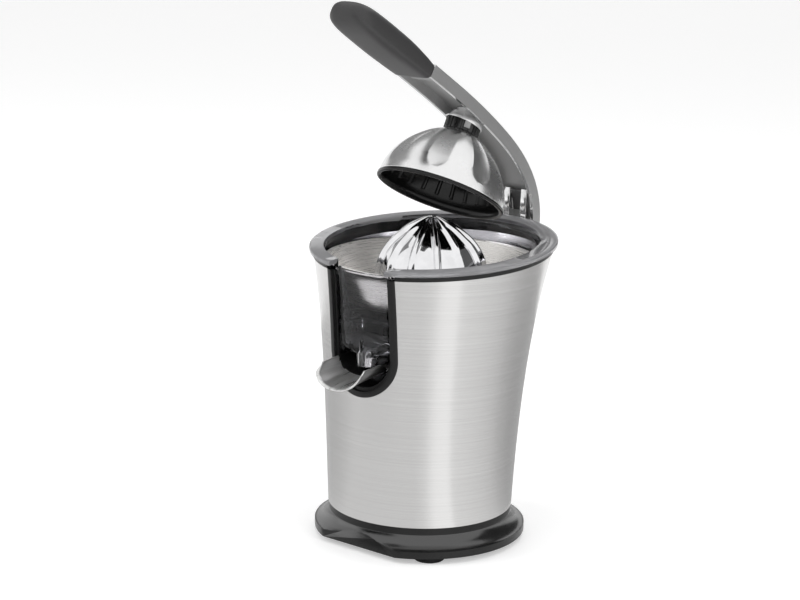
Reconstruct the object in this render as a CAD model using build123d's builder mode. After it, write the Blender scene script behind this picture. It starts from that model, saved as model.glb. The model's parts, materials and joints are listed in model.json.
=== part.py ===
from build123d import *
import os
from math import atan2, cos, degrees, hypot, pi, radians, sin, sqrt

# A lever citrus press. Millimetres, Z up, standing on the floor at Z = 0.
# The reamer and its spindle turn about the Z axis; the spout faces -Y, the lever hinges at +Y.

# ---- driving dimensions ------------------------------------------------------------------

# base and feet
foot_height = 4.0
foot_diameter = 23.0
foot_circle_radius = 66.0
foot_stud_diameter = 7.0
base_radius = 79.2
base_band_height = 5.2
base_flare_height = 9.2
neck_radius = 68.5
neck_height = 5.5
base_wall = 2.6
front_flat_distance = 70.2
front_flat_lean = 7.0
cover_thickness = 2.4
base_boss_radius = 4.6
base_boss_circle = 61.0
base_screw_diameter = 3.6
gland_diameter = 12.0

# body shell: round sections that grow and drift backwards with height
body_setback = 7.5
shell_bottom_radius = 69.2
flare_height = 206.0
flare_linear = 9.6
flare_cubic = 12.8
rim_drift = 9.8
shell_wall = 1.2
spigot_height = 8.0

# tilted rim
rim_tilt = 4.47
rim_centre_y = 2.2
rim_ring_height = 214.8
rim_ring_thickness = 3.9
rim_ring_radius = 89.4
rim_ring_wall = 4.6
rim_skirt_depth = 6.0
rim_skirt_wall = 0.8
lip_radius = 92.0
lip_thickness = 3.4
lip_notch_half_width = 25.5
notch_drop = 1.4

# front slot
slot_half_width = 31.2
slot_inner_half_width = 24.0
slot_arc_height = 149.5
slot_proud = 0.8
slot_frame_depth = 3.0
pocket_wall = 2.0
pocket_back_y = -49.0
pocket_top = 158.0

# clear juice bowl
bowl_wall = 2.0
bowl_ledge_drop = 10.5
bowl_ledge_radius = 77.4
bowl_upper_radius = 79.9
bowl_floor_height = 168.0
bowl_floor_radius = 70.0
window_half_width = 23.2
window_inset = 2.6
chute_floor_height = 150.0
chute_back_y = -52.0
nozzle_radius = 8.0
nozzle_bore_radius = 6.2
nozzle_y = -72.0
nozzle_bottom = 141.0
chimney_bore_radius = 8.2
chimney_wall = 1.8
chimney_rise = 13.0

# strainer
strainer_rim_radius = 79.4
strainer_rim_thickness = 1.2
strainer_wall = 1.0
strainer_shoulder_radius = 76.2
strainer_floor_height = 178.0
strainer_floor_radius = 60.0
strainer_hole_radius = 13.0
strainer_corner_width = 6.0
strainer_corner_rise = 3.0
strainer_slot_count = 36
strainer_slot_length = 12.0
strainer_slot_width = 1.6

# reamer
reamer_clearance = 9.0
reamer_skirt_height = 6.8
reamer_core_radius = 39.4
reamer_rib_radius = 42.5
reamer_tip_rise = 46.2
reamer_wall = 2.2
reamer_rib_count = 12
reamer_rib_width = 3.6
press_travel = 2.0
hub_recess = 6.6
hub_radius = 9.0
hub_web = 3.0

# spindle and gear train
spindle_radius = 5.0
spindle_reach = 17.0
spindle_hex = 8.0
hex_step = 0.4
rod_radius = 2.2
running_fit = 0.05
bush_wall = 2.2
gear_module = 1.25
gear_width = 8.0
output_teeth = 48
idler_small_teeth = 12
idler_large_teeth = 40
pinion_teeth = 10
tooth_slimness = 0.34
mesh_clearance = 0.25
motor_turn_angle = -60.0
gearbox_floor = 125.0
gearbox_floor_thickness = 3.0
gearbox_wall = 2.4
gearbox_cover_thickness = 2.4
level_gap = 1.6
idler_pin_radius = 3.0

# motor
motor_radius = 28.0
motor_length = 62.0
motor_gap = 20.0
motor_plate = 3.0
motor_shaft_radius = 2.5
fan_radius = 24.0
fan_height = 9.0
fan_blade_count = 9
motor_post_circle = 17.5
motor_post_radius = 3.6
motor_screw_diameter = 3.0

# inner frame
seat_height = 165.0
seat_thickness = 3.0
tie_rod_diameter = 4.0
tie_circle_radius = 56.0
tie_boss_radius = 5.0

# spout
spout_half_width = 20.0
spout_root_depth = 11.0
spout_lip_depth = 14.0
spout_wall = 1.2
spout_root_y = -62.0
spout_lip_y = -102.0
spout_lip_overhang = 9.5
spout_root_height = 147.2
spout_lip_height = 144.4
spout_pin_radius = 1.6
spout_pin_y = -72.0
spout_pin_height = 143.0
spout_boss_reach = 21.4

# lever
open_angle = 28.5
pivot_y = 107.6
pivot_height = 213.9
pin_radius = 3.0
ear_end_radius = 6.0
ear_thickness = 5.0
ear_centre_x = 8.0
post_half_width = 5.0
arm_half_width = 17.0
arm_wall = 2.6
arm_depth = 9.8
arm_outline = [(113.6, 224.1), (110.3, 245.1), (93.1, 273.5), (62.7, 300.7), (22.4, 328.3), (-26.4, 357.2)]
arm_end = (-22.3, 353.9)
tang_half_width = 11.0
tang_thickness = 4.4
tang_length = 62.0
tang_root = 14.0
tang_drop = 3.6
lip_clear_y = 103.2
bracket_half_width = 17.0
bracket_top_drop = 2.2
bracket_height = 38.0
bracket_pad = 4.0
bracket_screw_diameter = 4.0
bracket_screw_rise = (8.0, 28.0)

# grip
grip_half_width = 17.2
grip_angle = 32.0
grip_length = 93.0
grip_taper = 1.2
grip_tip_radius = 18.0
grip_edge = 3.0
grip_top_outline = [(-21.6, 353.8), (-55.7, 377.6), (-80.0, 393.4), (-96.0, 401.6)]
grip_nose = (-103.6, 399.4)
grip_bottom_outline = [(-103.0, 390.4), (-90.0, 379.4), (-60.0, 361.2), (-23.4, 342.2)]
grip_key_diameter = 7.0
grip_key_places = [(0, 16.0), (0, 48.0)]

# press cup, on its own tilted axis
cup_centre_y = 8.8
cup_centre_height = 257.4
cup_outline = [(48.2, 0.0), (47.1, 8.0), (43.2, 18.5), (35.8, 29.3), (24.4, 40.2), (13.0, 47.6)]
cup_wall = 1.2
liner_wall = 1.8
liner_rim = 2.8
liner_rim_width = 3.4
ring_radius = 13.6
ring_clearance = 0.35
ring_height = 8.05
ring_grooves = 20
stem_radius = 8.2
boss_disc_radius = 13.8
boss_disc_height = 2.6
boss_rib_count = 6

nut_radius = 9.4
nut_shank_radius = 4.0

fit = 0.1
contact_gap = 0.3

# ---- heights and places that follow ------------------------------------------------------

base_bottom = foot_height
band_top = base_bottom + base_band_height
flare_top = band_top + base_flare_height
shell_bottom = flare_top + neck_height
gearbox_inside = gearbox_floor + gearbox_floor_thickness
lower_level = gearbox_inside + level_gap
upper_level = lower_level + gear_width + level_gap
gearbox_top = upper_level + gear_width + level_gap
seat_top = seat_height + seat_thickness
lip_bottom = rim_ring_height + rim_ring_thickness / cos(radians(rim_tilt))
bowl_ledge_height = lip_bottom - bowl_ledge_drop
reamer_bottom = strainer_floor_height + reamer_clearance
reamer_sphere_height = reamer_bottom + reamer_skirt_height
reamer_tip = reamer_sphere_height + reamer_tip_rise
hub_bottom = reamer_bottom + hub_recess
hex_bottom = hub_bottom + hex_step
spindle_top = hub_bottom + spindle_reach
chimney_top = strainer_floor_height + chimney_rise
bracket_top = bowl_ledge_height - bracket_top_drop
bracket_bottom = bracket_top - bracket_height
motor_top = gearbox_floor - motor_gap
motor_bottom = motor_top - motor_length

output_pitch = gear_module * output_teeth / 2
idler_small_pitch = gear_module * idler_small_teeth / 2
idler_large_pitch = gear_module * idler_large_teeth / 2
pinion_pitch = gear_module * pinion_teeth / 2
idler_y = output_pitch + idler_small_pitch + mesh_clearance
motor_distance = idler_large_pitch + pinion_pitch + mesh_clearance
motor_x = motor_distance * cos(radians(motor_turn_angle))
motor_y = idler_y + motor_distance * sin(radians(motor_turn_angle))

cup_axis = (0, sin(radians(open_angle)), cos(radians(open_angle)))
grip_direction = (0, -cos(radians(grip_angle)), sin(radians(grip_angle)))
grip_down = (0, -sin(radians(grip_angle)), -cos(radians(grip_angle)))
tang_origin = (0, arm_end[0] + tang_drop * grip_down[1], arm_end[1] + tang_drop * grip_down[2])
tang_plane = Plane(origin=tang_origin, x_dir=(1, 0, 0), z_dir=grip_down)
front_plane = Plane(origin=(0, 0, 0), x_dir=(1, 0, 0), z_dir=(0, -1, 0))
side_plane = Plane(origin=(0, 0, 0), x_dir=(0, 1, 0), z_dir=(1, 0, 0))
body_plane = Plane(origin=(0, -body_setback, 0), x_dir=(1, 0, 0), z_dir=(0, -1, 0))
cup_plane = Plane(
    origin=(0, cup_centre_y, cup_centre_height),
    x_dir=(1, 0, 0),
    z_dir=(0, -cup_axis[2], cup_axis[1]),
)
flat_plane = Plane(
    origin=(0, -body_setback, band_top),
    x_dir=(1, 0, 0),
    z_dir=(0, -cos(radians(front_flat_lean)), sin(radians(front_flat_lean))),
)
body_axis = Axis((0, -body_setback, 0), (0, 0, 1))
cup_centre_axis = Axis((0, cup_centre_y, cup_centre_height), cup_axis)


def cup_level(height):
    """The plane square to the cup's axis at this height above its rim."""
    origin = (0, cup_centre_y + height * cup_axis[1], cup_centre_height + height * cup_axis[2])
    return Plane(origin=origin, x_dir=(1, 0, 0), z_dir=cup_axis)


def rim_plane(height):
    """The tilted plane of the rim that crosses the rim's axis at this height."""
    tilt = radians(rim_tilt)
    return Plane(origin=(0, rim_centre_y, height), x_dir=(1, 0, 0), z_dir=(0, -sin(tilt), cos(tilt)))


def section_radius(height):
    t = (height - shell_bottom) / flare_height
    return shell_bottom_radius + flare_linear * t + flare_cubic * t**3


def section_centre(height):
    t = (height - shell_bottom) / flare_height
    return -body_setback + rim_drift * t**2


def moved(points, distance):
    """The points of an open outline, moved to its left by this distance."""
    result = []
    for i, (x, y) in enumerate(points):
        before = points[max(i - 1, 0)]
        after = points[min(i + 1, len(points) - 1)]
        along_x, along_y = after[0] - before[0], after[1] - before[1]
        length = hypot(along_x, along_y)
        result.append((x - distance * along_y / length, y + distance * along_x / length))
    return result


def skin(offset):
    """The solid inside the body's tapering surface, with that surface moved out by offset."""
    sections = 7
    with BuildPart() as solid:
        for i in range(sections):
            height = shell_bottom + flare_height * i / (sections - 1)
            with BuildSketch(Plane.XY.offset(height)):
                with Locations((0, section_centre(height))):
                    Circle(section_radius(height) + offset)
        loft()
    return solid.part


def slot_prism(half_width, back_y, top):
    """A U-shaped prism through the body's front, round at the bottom."""
    reach = 120.0
    with BuildPart() as solid:
        with BuildSketch(front_plane.offset(-back_y)):
            with Locations((0, slot_arc_height)):
                Circle(half_width)
                Rectangle(2 * half_width, top - slot_arc_height, align=(Align.CENTER, Align.MIN))
        extrude(amount=reach + back_y)
    return solid.part


def block(x0, x1, y0, y1, z0, z1):
    """A plain box between two corners."""
    with BuildPart() as solid:
        with BuildSketch(Plane.XY.offset(z0)):
            with Locations(((x0 + x1) / 2, (y0 + y1) / 2)):
                Rectangle(x1 - x0, y1 - y0)
        extrude(amount=z1 - z0)
    return solid.part


def rods(places, radius, bottom, top):
    """Upright round rods, all of one radius."""
    with BuildPart() as solid:
        with BuildSketch(Plane.XY.offset(bottom)):
            with Locations(*places):
                Circle(radius)
        extrude(amount=top - bottom)
    return solid.part


def polar(count, radius, start=0.0, centre=(0.0, 0.0)):
    """Points evenly spaced round a circle."""
    points = []
    for i in range(count):
        angle = radians(start + 360.0 * i / count)
        points.append((centre[0] + radius * cos(angle), centre[1] + radius * sin(angle)))
    return points


def pan_screws(places, diameter, head_bottom, length, up=True):
    """Pan-head screws: heads at head_bottom, shanks running up or down from the heads."""
    head_height = 0.6 * diameter
    sense = 1 if up else -1
    with BuildPart() as solid:
        with BuildSketch(Plane.XY.offset(head_bottom)):
            with Locations(*places):
                Circle(diameter)
        extrude(amount=sense * head_height)
        with BuildSketch(Plane.XY.offset(head_bottom + sense * head_height)):
            with Locations(*places):
                Circle(diameter / 2)
        extrude(amount=sense * length)
        with BuildSketch(Plane.XY.offset(head_bottom)):
            with Locations(*places):
                Rectangle(1.2 * diameter, 0.22 * diameter)
                Rectangle(0.22 * diameter, 1.2 * diameter)
        extrude(amount=sense * 0.35 * head_height, mode=Mode.SUBTRACT)
    return solid.part


def gear(teeth, centre, bottom, width, bore, first_tooth):
    """A spur gear with slim straight-sided teeth; the first tooth points at first_tooth degrees."""
    pitch = gear_module * teeth / 2
    root = pitch - 1.25 * gear_module
    tip = pitch + 0.9 * gear_module
    half_pitch = pi * gear_module * tooth_slimness / 2
    with BuildPart() as solid:
        with BuildSketch(Plane.XY.offset(bottom)):
            with Locations(centre):
                Circle(root)
            for i in range(teeth):
                angle = first_tooth + 360.0 * i / teeth
                with Locations(Location((centre[0], centre[1], 0), (0, 0, angle))):
                    Polygon(
                        (root - 0.4, -1.5 * half_pitch),
                        (pitch, -half_pitch),
                        (tip, -0.6 * half_pitch),
                        (tip, 0.6 * half_pitch),
                        (pitch, half_pitch),
                        (root - 0.4, 1.5 * half_pitch),
                        align=None,
                    )
            with Locations(centre):
                Circle(bore, mode=Mode.SUBTRACT)
        extrude(amount=width)
    return solid.part


os.makedirs("parts", exist_ok=True)


def save(node, name):
    node.part.label = name
    export_step(node.part, f"parts/{name}.step")


# ---- base --------------------------------------------------------------------------------


def base_body(inset, bottom, front):
    """The base's flared outline, moved inwards by inset and cut flat at the front."""
    with BuildPart() as solid:
        with BuildSketch(body_plane):
            with BuildLine():
                low = (base_radius - inset, bottom)
                band = (base_radius - inset, band_top - 0.4 * inset)
                neck = (neck_radius - inset, flare_top - 0.4 * inset)
                Line((0, bottom), low)
                Line(low, band)
                flare = SagittaArc(band, neck, 2.2)
                Line(flare @ 1, (neck_radius - inset, shell_bottom))
                Line((neck_radius - inset, shell_bottom), (0, shell_bottom))
                Line((0, shell_bottom), (0, bottom))
            make_face()
        revolve(axis=body_axis)
        split(bisect_by=flat_plane.offset(front), keep=Keep.BOTTOM)
    return solid.part


spigot_radius = shell_bottom_radius - shell_wall - fit
boss_places = polar(4, base_boss_circle, 0, (0, -body_setback))
tie_places = polar(4, tie_circle_radius, 45, (0, -body_setback))
foot_places = polar(4, foot_circle_radius, 45, (0, -body_setback))
cover_top = base_bottom + cover_thickness
cover_pad_top = cover_top + 3.0
gland_height = band_top + 4.0
gland_y = -body_setback + base_radius

with BuildPart() as base_skirt:
    add(base_body(0, base_bottom, front_flat_distance))
    with BuildSketch(Plane.XY.offset(shell_bottom)):
        with Locations((0, -body_setback)):
            Circle(spigot_radius)
    extrude(amount=spigot_height)
    add(base_body(base_wall, base_bottom - 1, front_flat_distance - base_wall), mode=Mode.SUBTRACT)
    with BuildSketch(Plane.XY.offset(shell_bottom - 1)):
        with Locations((0, -body_setback)):
            Circle(spigot_radius - base_wall)
    extrude(amount=spigot_height + 2, mode=Mode.SUBTRACT)
    with BuildSketch(Plane.XY.offset(cover_pad_top)):
        with Locations(*boss_places):
            Circle(base_boss_radius)
        for x, y in boss_places:
            reach = hypot(x, y + body_setback)
            outward = Location((x, y, 0), (0, 0, degrees(atan2(y + body_setback, x))))
            with Locations(outward):
                Rectangle(neck_radius - base_wall / 2 - reach, 3.0, align=(Align.MIN, Align.CENTER))
        with Locations(*tie_places):
            Circle(tie_boss_radius)
        for x, y in tie_places:
            outward = Location((x, y, 0), (0, 0, degrees(atan2(y + body_setback, x))))
            with Locations(outward):
                web = neck_radius - base_wall / 2 - tie_circle_radius
                Rectangle(web, 4.0, align=(Align.MIN, Align.CENTER))
    extrude(amount=shell_bottom + spigot_height - cover_pad_top)
    with BuildSketch(Plane.XY.offset(cover_pad_top)):
        with Locations(*boss_places):
            Circle(base_screw_diameter / 2 + running_fit)
        with Locations(*tie_places):
            Circle(tie_rod_diameter / 2 + running_fit)
    extrude(amount=shell_bottom + spigot_height - cover_pad_top, mode=Mode.SUBTRACT)
    with BuildSketch(Plane.XZ.offset(body_setback - base_radius - 2)):
        with Locations((0, gland_height)):
            Circle(gland_diameter / 2 + fit)
    extrude(amount=16, mode=Mode.SUBTRACT)
save(base_skirt, "base_skirt")

with BuildPart() as base_cover:
    add(base_body(base_wall + fit, base_bottom, front_flat_distance - base_wall - fit))
    split(bisect_by=Plane.XY.offset(cover_top), keep=Keep.BOTTOM)
    with BuildSketch(Plane.XY.offset(cover_top)):
        with Locations(*boss_places):
            Circle(base_boss_radius + 1)
    extrude(amount=cover_pad_top - cover_top)
    with BuildSketch(Plane.XY.offset(base_bottom)):
        with Locations(*boss_places):
            Circle(base_screw_diameter + 0.4)
    extrude(amount=cover_pad_top - base_bottom - 2.0, mode=Mode.SUBTRACT)
    with BuildSketch(Plane.XY.offset(base_bottom)):
        with Locations(*boss_places):
            Circle(base_screw_diameter / 2 + fit)
        with Locations(*foot_places):
            Circle(foot_stud_diameter / 2 + fit)
        with Locations(*polar(16, 26, 0, (0, -body_setback))):
            Circle(2.6)
        with Locations(*polar(10, 16, 0, (0, -body_setback))):
            Circle(2.6)
    extrude(amount=cover_pad_top, mode=Mode.SUBTRACT)
save(base_cover, "base_cover")

with BuildPart() as rubber_feet:
    with BuildSketch():
        with Locations(*foot_places):
            Circle(foot_diameter / 2)
    extrude(amount=foot_height)
    chamfer(rubber_feet.faces().sort_by(Axis.Z)[0:4].edges(), 0.8)
    with BuildSketch(Plane.XY.offset(foot_height)):
        with Locations(*foot_places):
            Circle(foot_stud_diameter / 2)
    extrude(amount=cover_thickness + 1.2)
save(rubber_feet, "rubber_feet")

with BuildPart() as base_screws:
    head_seat = cover_pad_top - 2.0
    add(pan_screws(boss_places, base_screw_diameter, head_seat - 0.6 * base_screw_diameter, 13.0))
save(base_screws, "base_screws")

with BuildPart() as cord_gland:
    gland_plane = Plane(origin=(0, gland_y + 1.2, gland_height), x_dir=(1, 0, 0), z_dir=(0, -1, 0))
    with BuildSketch(gland_plane):
        Circle(gland_diameter / 2 + 1.6)
    extrude(amount=1.0)
    with BuildSketch(gland_plane):
        Circle(gland_diameter / 2)
    extrude(amount=13.0)
    fillet(cord_gland.faces().sort_by(Axis.Y)[-1].edges(), 0.4)
    with BuildSketch(gland_plane):
        Circle(3.6)
    extrude(amount=13.0, mode=Mode.SUBTRACT)
save(cord_gland, "cord_gland")

# ---- body shell, rim and slot ------------------------------------------------------------

screw_heights = [bracket_bottom + rise for rise in bracket_screw_rise]

with BuildPart() as body_shell:
    add(skin(0))
    add(skin(-shell_wall), mode=Mode.SUBTRACT)
    split(bisect_by=rim_plane(rim_ring_height), keep=Keep.BOTTOM)
    add(slot_prism(slot_half_width, -20, 240), mode=Mode.SUBTRACT)
    with BuildSketch(Plane.XZ):
        for height in screw_heights:
            with Locations((0, height)):
                Circle(bracket_screw_diameter / 2 + fit)
    extrude(amount=-110, mode=Mode.SUBTRACT)
save(body_shell, "body_shell")

with BuildPart() as rim_ring:
    with BuildSketch(rim_plane(rim_ring_height)):
        Circle(rim_ring_radius)
        Circle(rim_ring_radius - rim_ring_wall, mode=Mode.SUBTRACT)
    extrude(amount=rim_ring_thickness)
    with BuildSketch(rim_plane(rim_ring_height)):
        Circle(rim_ring_radius - rim_ring_wall + rim_skirt_wall)
        Circle(rim_ring_radius - rim_ring_wall, mode=Mode.SUBTRACT)
    extrude(amount=-rim_skirt_depth)
    add(slot_prism(slot_half_width + fit, -20, 240), mode=Mode.SUBTRACT)
save(rim_ring, "rim_ring")

with BuildPart() as slot_trim:
    add(skin(slot_proud))
    add(skin(-slot_frame_depth), mode=Mode.SUBTRACT)
    add(slot_prism(slot_half_width - fit, -20, 240), mode=Mode.INTERSECT)
    add(slot_prism(slot_inner_half_width, -20, 240), mode=Mode.SUBTRACT)
    split(bisect_by=rim_plane(lip_bottom), keep=Keep.BOTTOM)
save(slot_trim, "slot_trim")

with BuildPart() as slot_pocket:
    add(slot_prism(slot_inner_half_width + pocket_wall, pocket_back_y, pocket_top))
    add(skin(-slot_frame_depth - fit), mode=Mode.INTERSECT)
    add(slot_prism(slot_inner_half_width, pocket_back_y - pocket_wall, 240), mode=Mode.SUBTRACT)
    split(bisect_by=Plane.XY.offset(pocket_top), keep=Keep.BOTTOM)
    with BuildSketch(side_plane.offset(-60)):
        with Locations((spout_pin_y, spout_pin_height)):
            Circle(spout_pin_radius + running_fit)
    extrude(amount=120, mode=Mode.SUBTRACT)
save(slot_pocket, "slot_pocket")

# ---- inner frame -------------------------------------------------------------------------

bush_outer = spindle_radius + bush_wall
seat_radius = bowl_floor_radius - 4.0

with BuildPart() as bowl_seat:
    with BuildSketch(Plane.XY.offset(seat_height)):
        Circle(seat_radius)
    extrude(amount=seat_thickness)
    add(block(-90, 90, -120, pocket_back_y + 2 * fit, seat_height - 1, seat_top + 1), mode=Mode.SUBTRACT)
    with BuildSketch(Plane.XY.offset(seat_height)):
        Circle(seat_radius)
        Circle(seat_radius - 2.2, mode=Mode.SUBTRACT)
    extrude(amount=-6)
    add(block(-90, 90, -120, pocket_back_y + 2 * fit, seat_height - 7, seat_height), mode=Mode.SUBTRACT)
    with BuildSketch(Plane.XY.offset(seat_height - 6)):
        with Locations(*tie_places):
            Circle(tie_boss_radius)
        Circle(bush_outer + 2.4)
    extrude(amount=6)
    with BuildSketch(Plane.XY.offset(seat_height - 6)):
        Circle(bush_outer + running_fit)
    extrude(amount=20, mode=Mode.SUBTRACT)
    with BuildSketch(Plane.XY.offset(seat_height - 6)):
        with Locations(*tie_places):
            Circle(tie_rod_diameter / 2 + running_fit)
    extrude(amount=6.2, mode=Mode.SUBTRACT)
save(bowl_seat, "bowl_seat")

with BuildPart() as tie_rods:
    add(rods(tie_places, tie_rod_diameter / 2, cover_pad_top + 1, seat_height))
save(tie_rods, "tie_rods")


def gearbox_outline(bottom, height, inset):
    """The gearbox's outline: a hull round the output gear and the idler."""
    output_round = output_pitch + gear_module + gearbox_wall + 1.6 - inset
    idler_round = idler_large_pitch + gear_module + gearbox_wall + 1.6 - inset
    with BuildPart() as solid:
        with BuildSketch(Plane.XY.offset(bottom)):
            Circle(output_round)
            with Locations((0, idler_y)):
                Circle(idler_round)
            make_hull()
        extrude(amount=height)
    return solid.part


motor_post_places = [
    (motor_x + motor_post_circle * cos(radians(a)), motor_y + motor_post_circle * sin(radians(a)))
    for a in (15.0, 95.0, 285.0)
]
rear_screw_y = idler_y + 14.0
box_screw_places = [(0, -output_pitch - gearbox_wall - 4.4), (27.0, rear_screw_y), (-27.0, rear_screw_y)]

with BuildPart() as gearbox_housing:
    add(gearbox_outline(gearbox_floor, gearbox_top - gearbox_floor, 0))
    with BuildSketch(Plane.XY.offset(gearbox_floor)):
        with Locations(*box_screw_places):
            Circle(4.0)
    extrude(amount=gearbox_top - gearbox_floor)
    add(gearbox_outline(gearbox_inside, gearbox_top, gearbox_wall), mode=Mode.SUBTRACT)
    with BuildSketch(Plane.XY.offset(gearbox_floor)):
        with Locations(*motor_post_places):
            Circle(motor_post_radius)
    extrude(amount=-motor_gap)
    with BuildSketch(Plane.XY.offset(gearbox_inside)):
        with Locations((0, idler_y)):
            Circle(idler_pin_radius + 2.4)
    extrude(amount=level_gap - contact_gap)
    with BuildSketch(Plane.XY.offset(gearbox_floor - motor_gap)):
        Circle(bush_outer + running_fit)
        with Locations((motor_x, motor_y)):
            Circle(motor_shaft_radius + 1.5)
        with Locations((0, idler_y)):
            Circle(idler_pin_radius + running_fit)
        with Locations(*box_screw_places):
            Circle(motor_screw_diameter / 2 + running_fit)
        with Locations(*motor_post_places):
            Circle(motor_screw_diameter / 2 + running_fit)
    extrude(amount=motor_gap + gearbox_top, mode=Mode.SUBTRACT)
save(gearbox_housing, "gearbox_housing")

with BuildPart() as gearbox_cover:
    add(gearbox_outline(gearbox_top, gearbox_cover_thickness, 0))
    with BuildSketch(Plane.XY.offset(gearbox_top)):
        with Locations(*box_screw_places):
            Circle(4.0)
    extrude(amount=gearbox_cover_thickness)
    with BuildSketch(Plane.XY.offset(gearbox_top)):
        Circle(bush_outer + 1.0)
        with Locations((0, idler_y)):
            Circle(idler_pin_radius + running_fit)
        with Locations(*box_screw_places):
            Circle(motor_screw_diameter / 2 + running_fit)
    extrude(amount=gearbox_cover_thickness, mode=Mode.SUBTRACT)
save(gearbox_cover, "gearbox_cover")

box_screw_head = gearbox_floor - 0.6 * motor_screw_diameter

with BuildPart() as gearbox_spacers:
    with BuildSketch(Plane.XY.offset(gearbox_top + gearbox_cover_thickness)):
        with Locations(*box_screw_places):
            Circle(4.0)
            Circle(motor_screw_diameter / 2 + running_fit, mode=Mode.SUBTRACT)
    extrude(amount=seat_height - gearbox_top - gearbox_cover_thickness)
save(gearbox_spacers, "gearbox_spacers")

with BuildPart() as gearbox_screws:
    box_screw_length = seat_height - gearbox_floor - fit
    add(pan_screws(box_screw_places, motor_screw_diameter, box_screw_head, box_screw_length))
save(gearbox_screws, "gearbox_screws")

with BuildPart() as spindle_bushes:
    with BuildSketch(Plane.XY.offset(gearbox_floor)):
        Circle(bush_outer)
        Circle(spindle_radius + running_fit, mode=Mode.SUBTRACT)
    extrude(amount=gearbox_floor_thickness + level_gap - contact_gap)
    with BuildSketch(Plane.XY.offset(seat_height - 6)):
        Circle(bush_outer)
        Circle(spindle_radius + running_fit, mode=Mode.SUBTRACT)
    extrude(amount=6 + seat_thickness)
save(spindle_bushes, "spindle_bushes")

# ---- gear train and motor ----------------------------------------------------------------

to_motor = motor_turn_angle
with BuildPart() as output_gear:
    add(gear(output_teeth, (0, 0), upper_level, gear_width, spindle_radius, 90))
    with BuildSketch(Plane.XY.offset(lower_level)):
        Circle(spindle_radius + 2.6)
        Circle(spindle_radius, mode=Mode.SUBTRACT)
    extrude(amount=upper_level - lower_level)
    with BuildSketch(Plane.XY.offset(upper_level + gear_width)):
        Circle(output_pitch - 4)
        Circle(spindle_radius + 5, mode=Mode.SUBTRACT)
    extrude(amount=-2.6, mode=Mode.SUBTRACT)
save(output_gear, "output_gear")

with BuildPart() as drive_spindle:
    with BuildSketch(Plane.XY.offset(gearbox_floor + 0.6)):
        Circle(spindle_radius)
    extrude(amount=hex_bottom - gearbox_floor - 0.6)
    with BuildSketch(Plane.XY.offset(hex_bottom)):
        RegularPolygon(spindle_hex / 2, 6, major_radius=False)
    extrude(amount=spindle_top - hex_bottom)
    with BuildSketch(Plane.XY.offset(gearbox_floor)):
        Circle(rod_radius + running_fit)
    extrude(amount=spindle_top - gearbox_floor, mode=Mode.SUBTRACT)
save(drive_spindle, "drive_spindle")

with BuildPart() as idler_gear:
    idler_first = 270 + 180 / idler_small_teeth
    idler_bore = idler_pin_radius + running_fit
    add(gear(idler_large_teeth, (0, idler_y), lower_level, gear_width, idler_bore, to_motor))
    small_bottom = lower_level + gear_width
    add(gear(idler_small_teeth, (0, idler_y), small_bottom, gear_width + level_gap, idler_bore, idler_first))
save(idler_gear, "idler_gear")

with BuildPart() as idler_pin:
    with BuildSketch(Plane.XY.offset(gearbox_floor)):
        with Locations((0, idler_y)):
            Circle(idler_pin_radius)
    extrude(amount=gearbox_top + gearbox_cover_thickness - gearbox_floor)
save(idler_pin, "idler_pin")

with BuildPart() as motor_pinion:
    pinion_first = to_motor + 180 + 180 / pinion_teeth
    add(gear(pinion_teeth, (motor_x, motor_y), lower_level, gear_width, motor_shaft_radius, pinion_first))
save(motor_pinion, "motor_pinion")

with BuildPart() as motor_shaft:
    with BuildSketch(Plane.XY.offset(motor_bottom - fan_height - 4)):
        with Locations((motor_x, motor_y)):
            Circle(motor_shaft_radius)
    extrude(amount=lower_level + gear_width - motor_bottom + fan_height + 4)
save(motor_shaft, "motor_shaft")

with BuildPart() as motor_rotor:
    with BuildSketch(Plane.XY.offset(motor_bottom + 8)):
        with Locations((motor_x, motor_y)):
            Circle(motor_radius - 9)
            Circle(motor_shaft_radius, mode=Mode.SUBTRACT)
    extrude(amount=motor_length - 16)
save(motor_rotor, "motor_rotor")

with BuildPart() as motor_fan:
    with BuildSketch(Plane.XY.offset(motor_bottom - fan_height - 2)):
        with Locations((motor_x, motor_y)):
            Circle(motor_shaft_radius + 3)
    extrude(amount=fan_height)
    with BuildSketch(Plane.XY.offset(motor_bottom - 4)):
        with Locations((motor_x, motor_y)):
            Circle(fan_radius)
    extrude(amount=2)
    with BuildSketch(Plane.XY.offset(motor_bottom - fan_height - 2)):
        for i in range(fan_blade_count):
            blade = Location((motor_x, motor_y, 0), (0, 0, 360 * i / fan_blade_count))
            with Locations(blade):
                with Locations((fan_radius / 2 + 1, 0)):
                    Rectangle(fan_radius - 4, 1.6, rotation=18)
    extrude(amount=fan_height - 1)
    with BuildSketch(Plane.XY.offset(motor_bottom - fan_height - 2)):
        with Locations((motor_x, motor_y)):
            Circle(motor_shaft_radius)
    extrude(amount=fan_height, mode=Mode.SUBTRACT)
save(motor_fan, "motor_fan")

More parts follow.
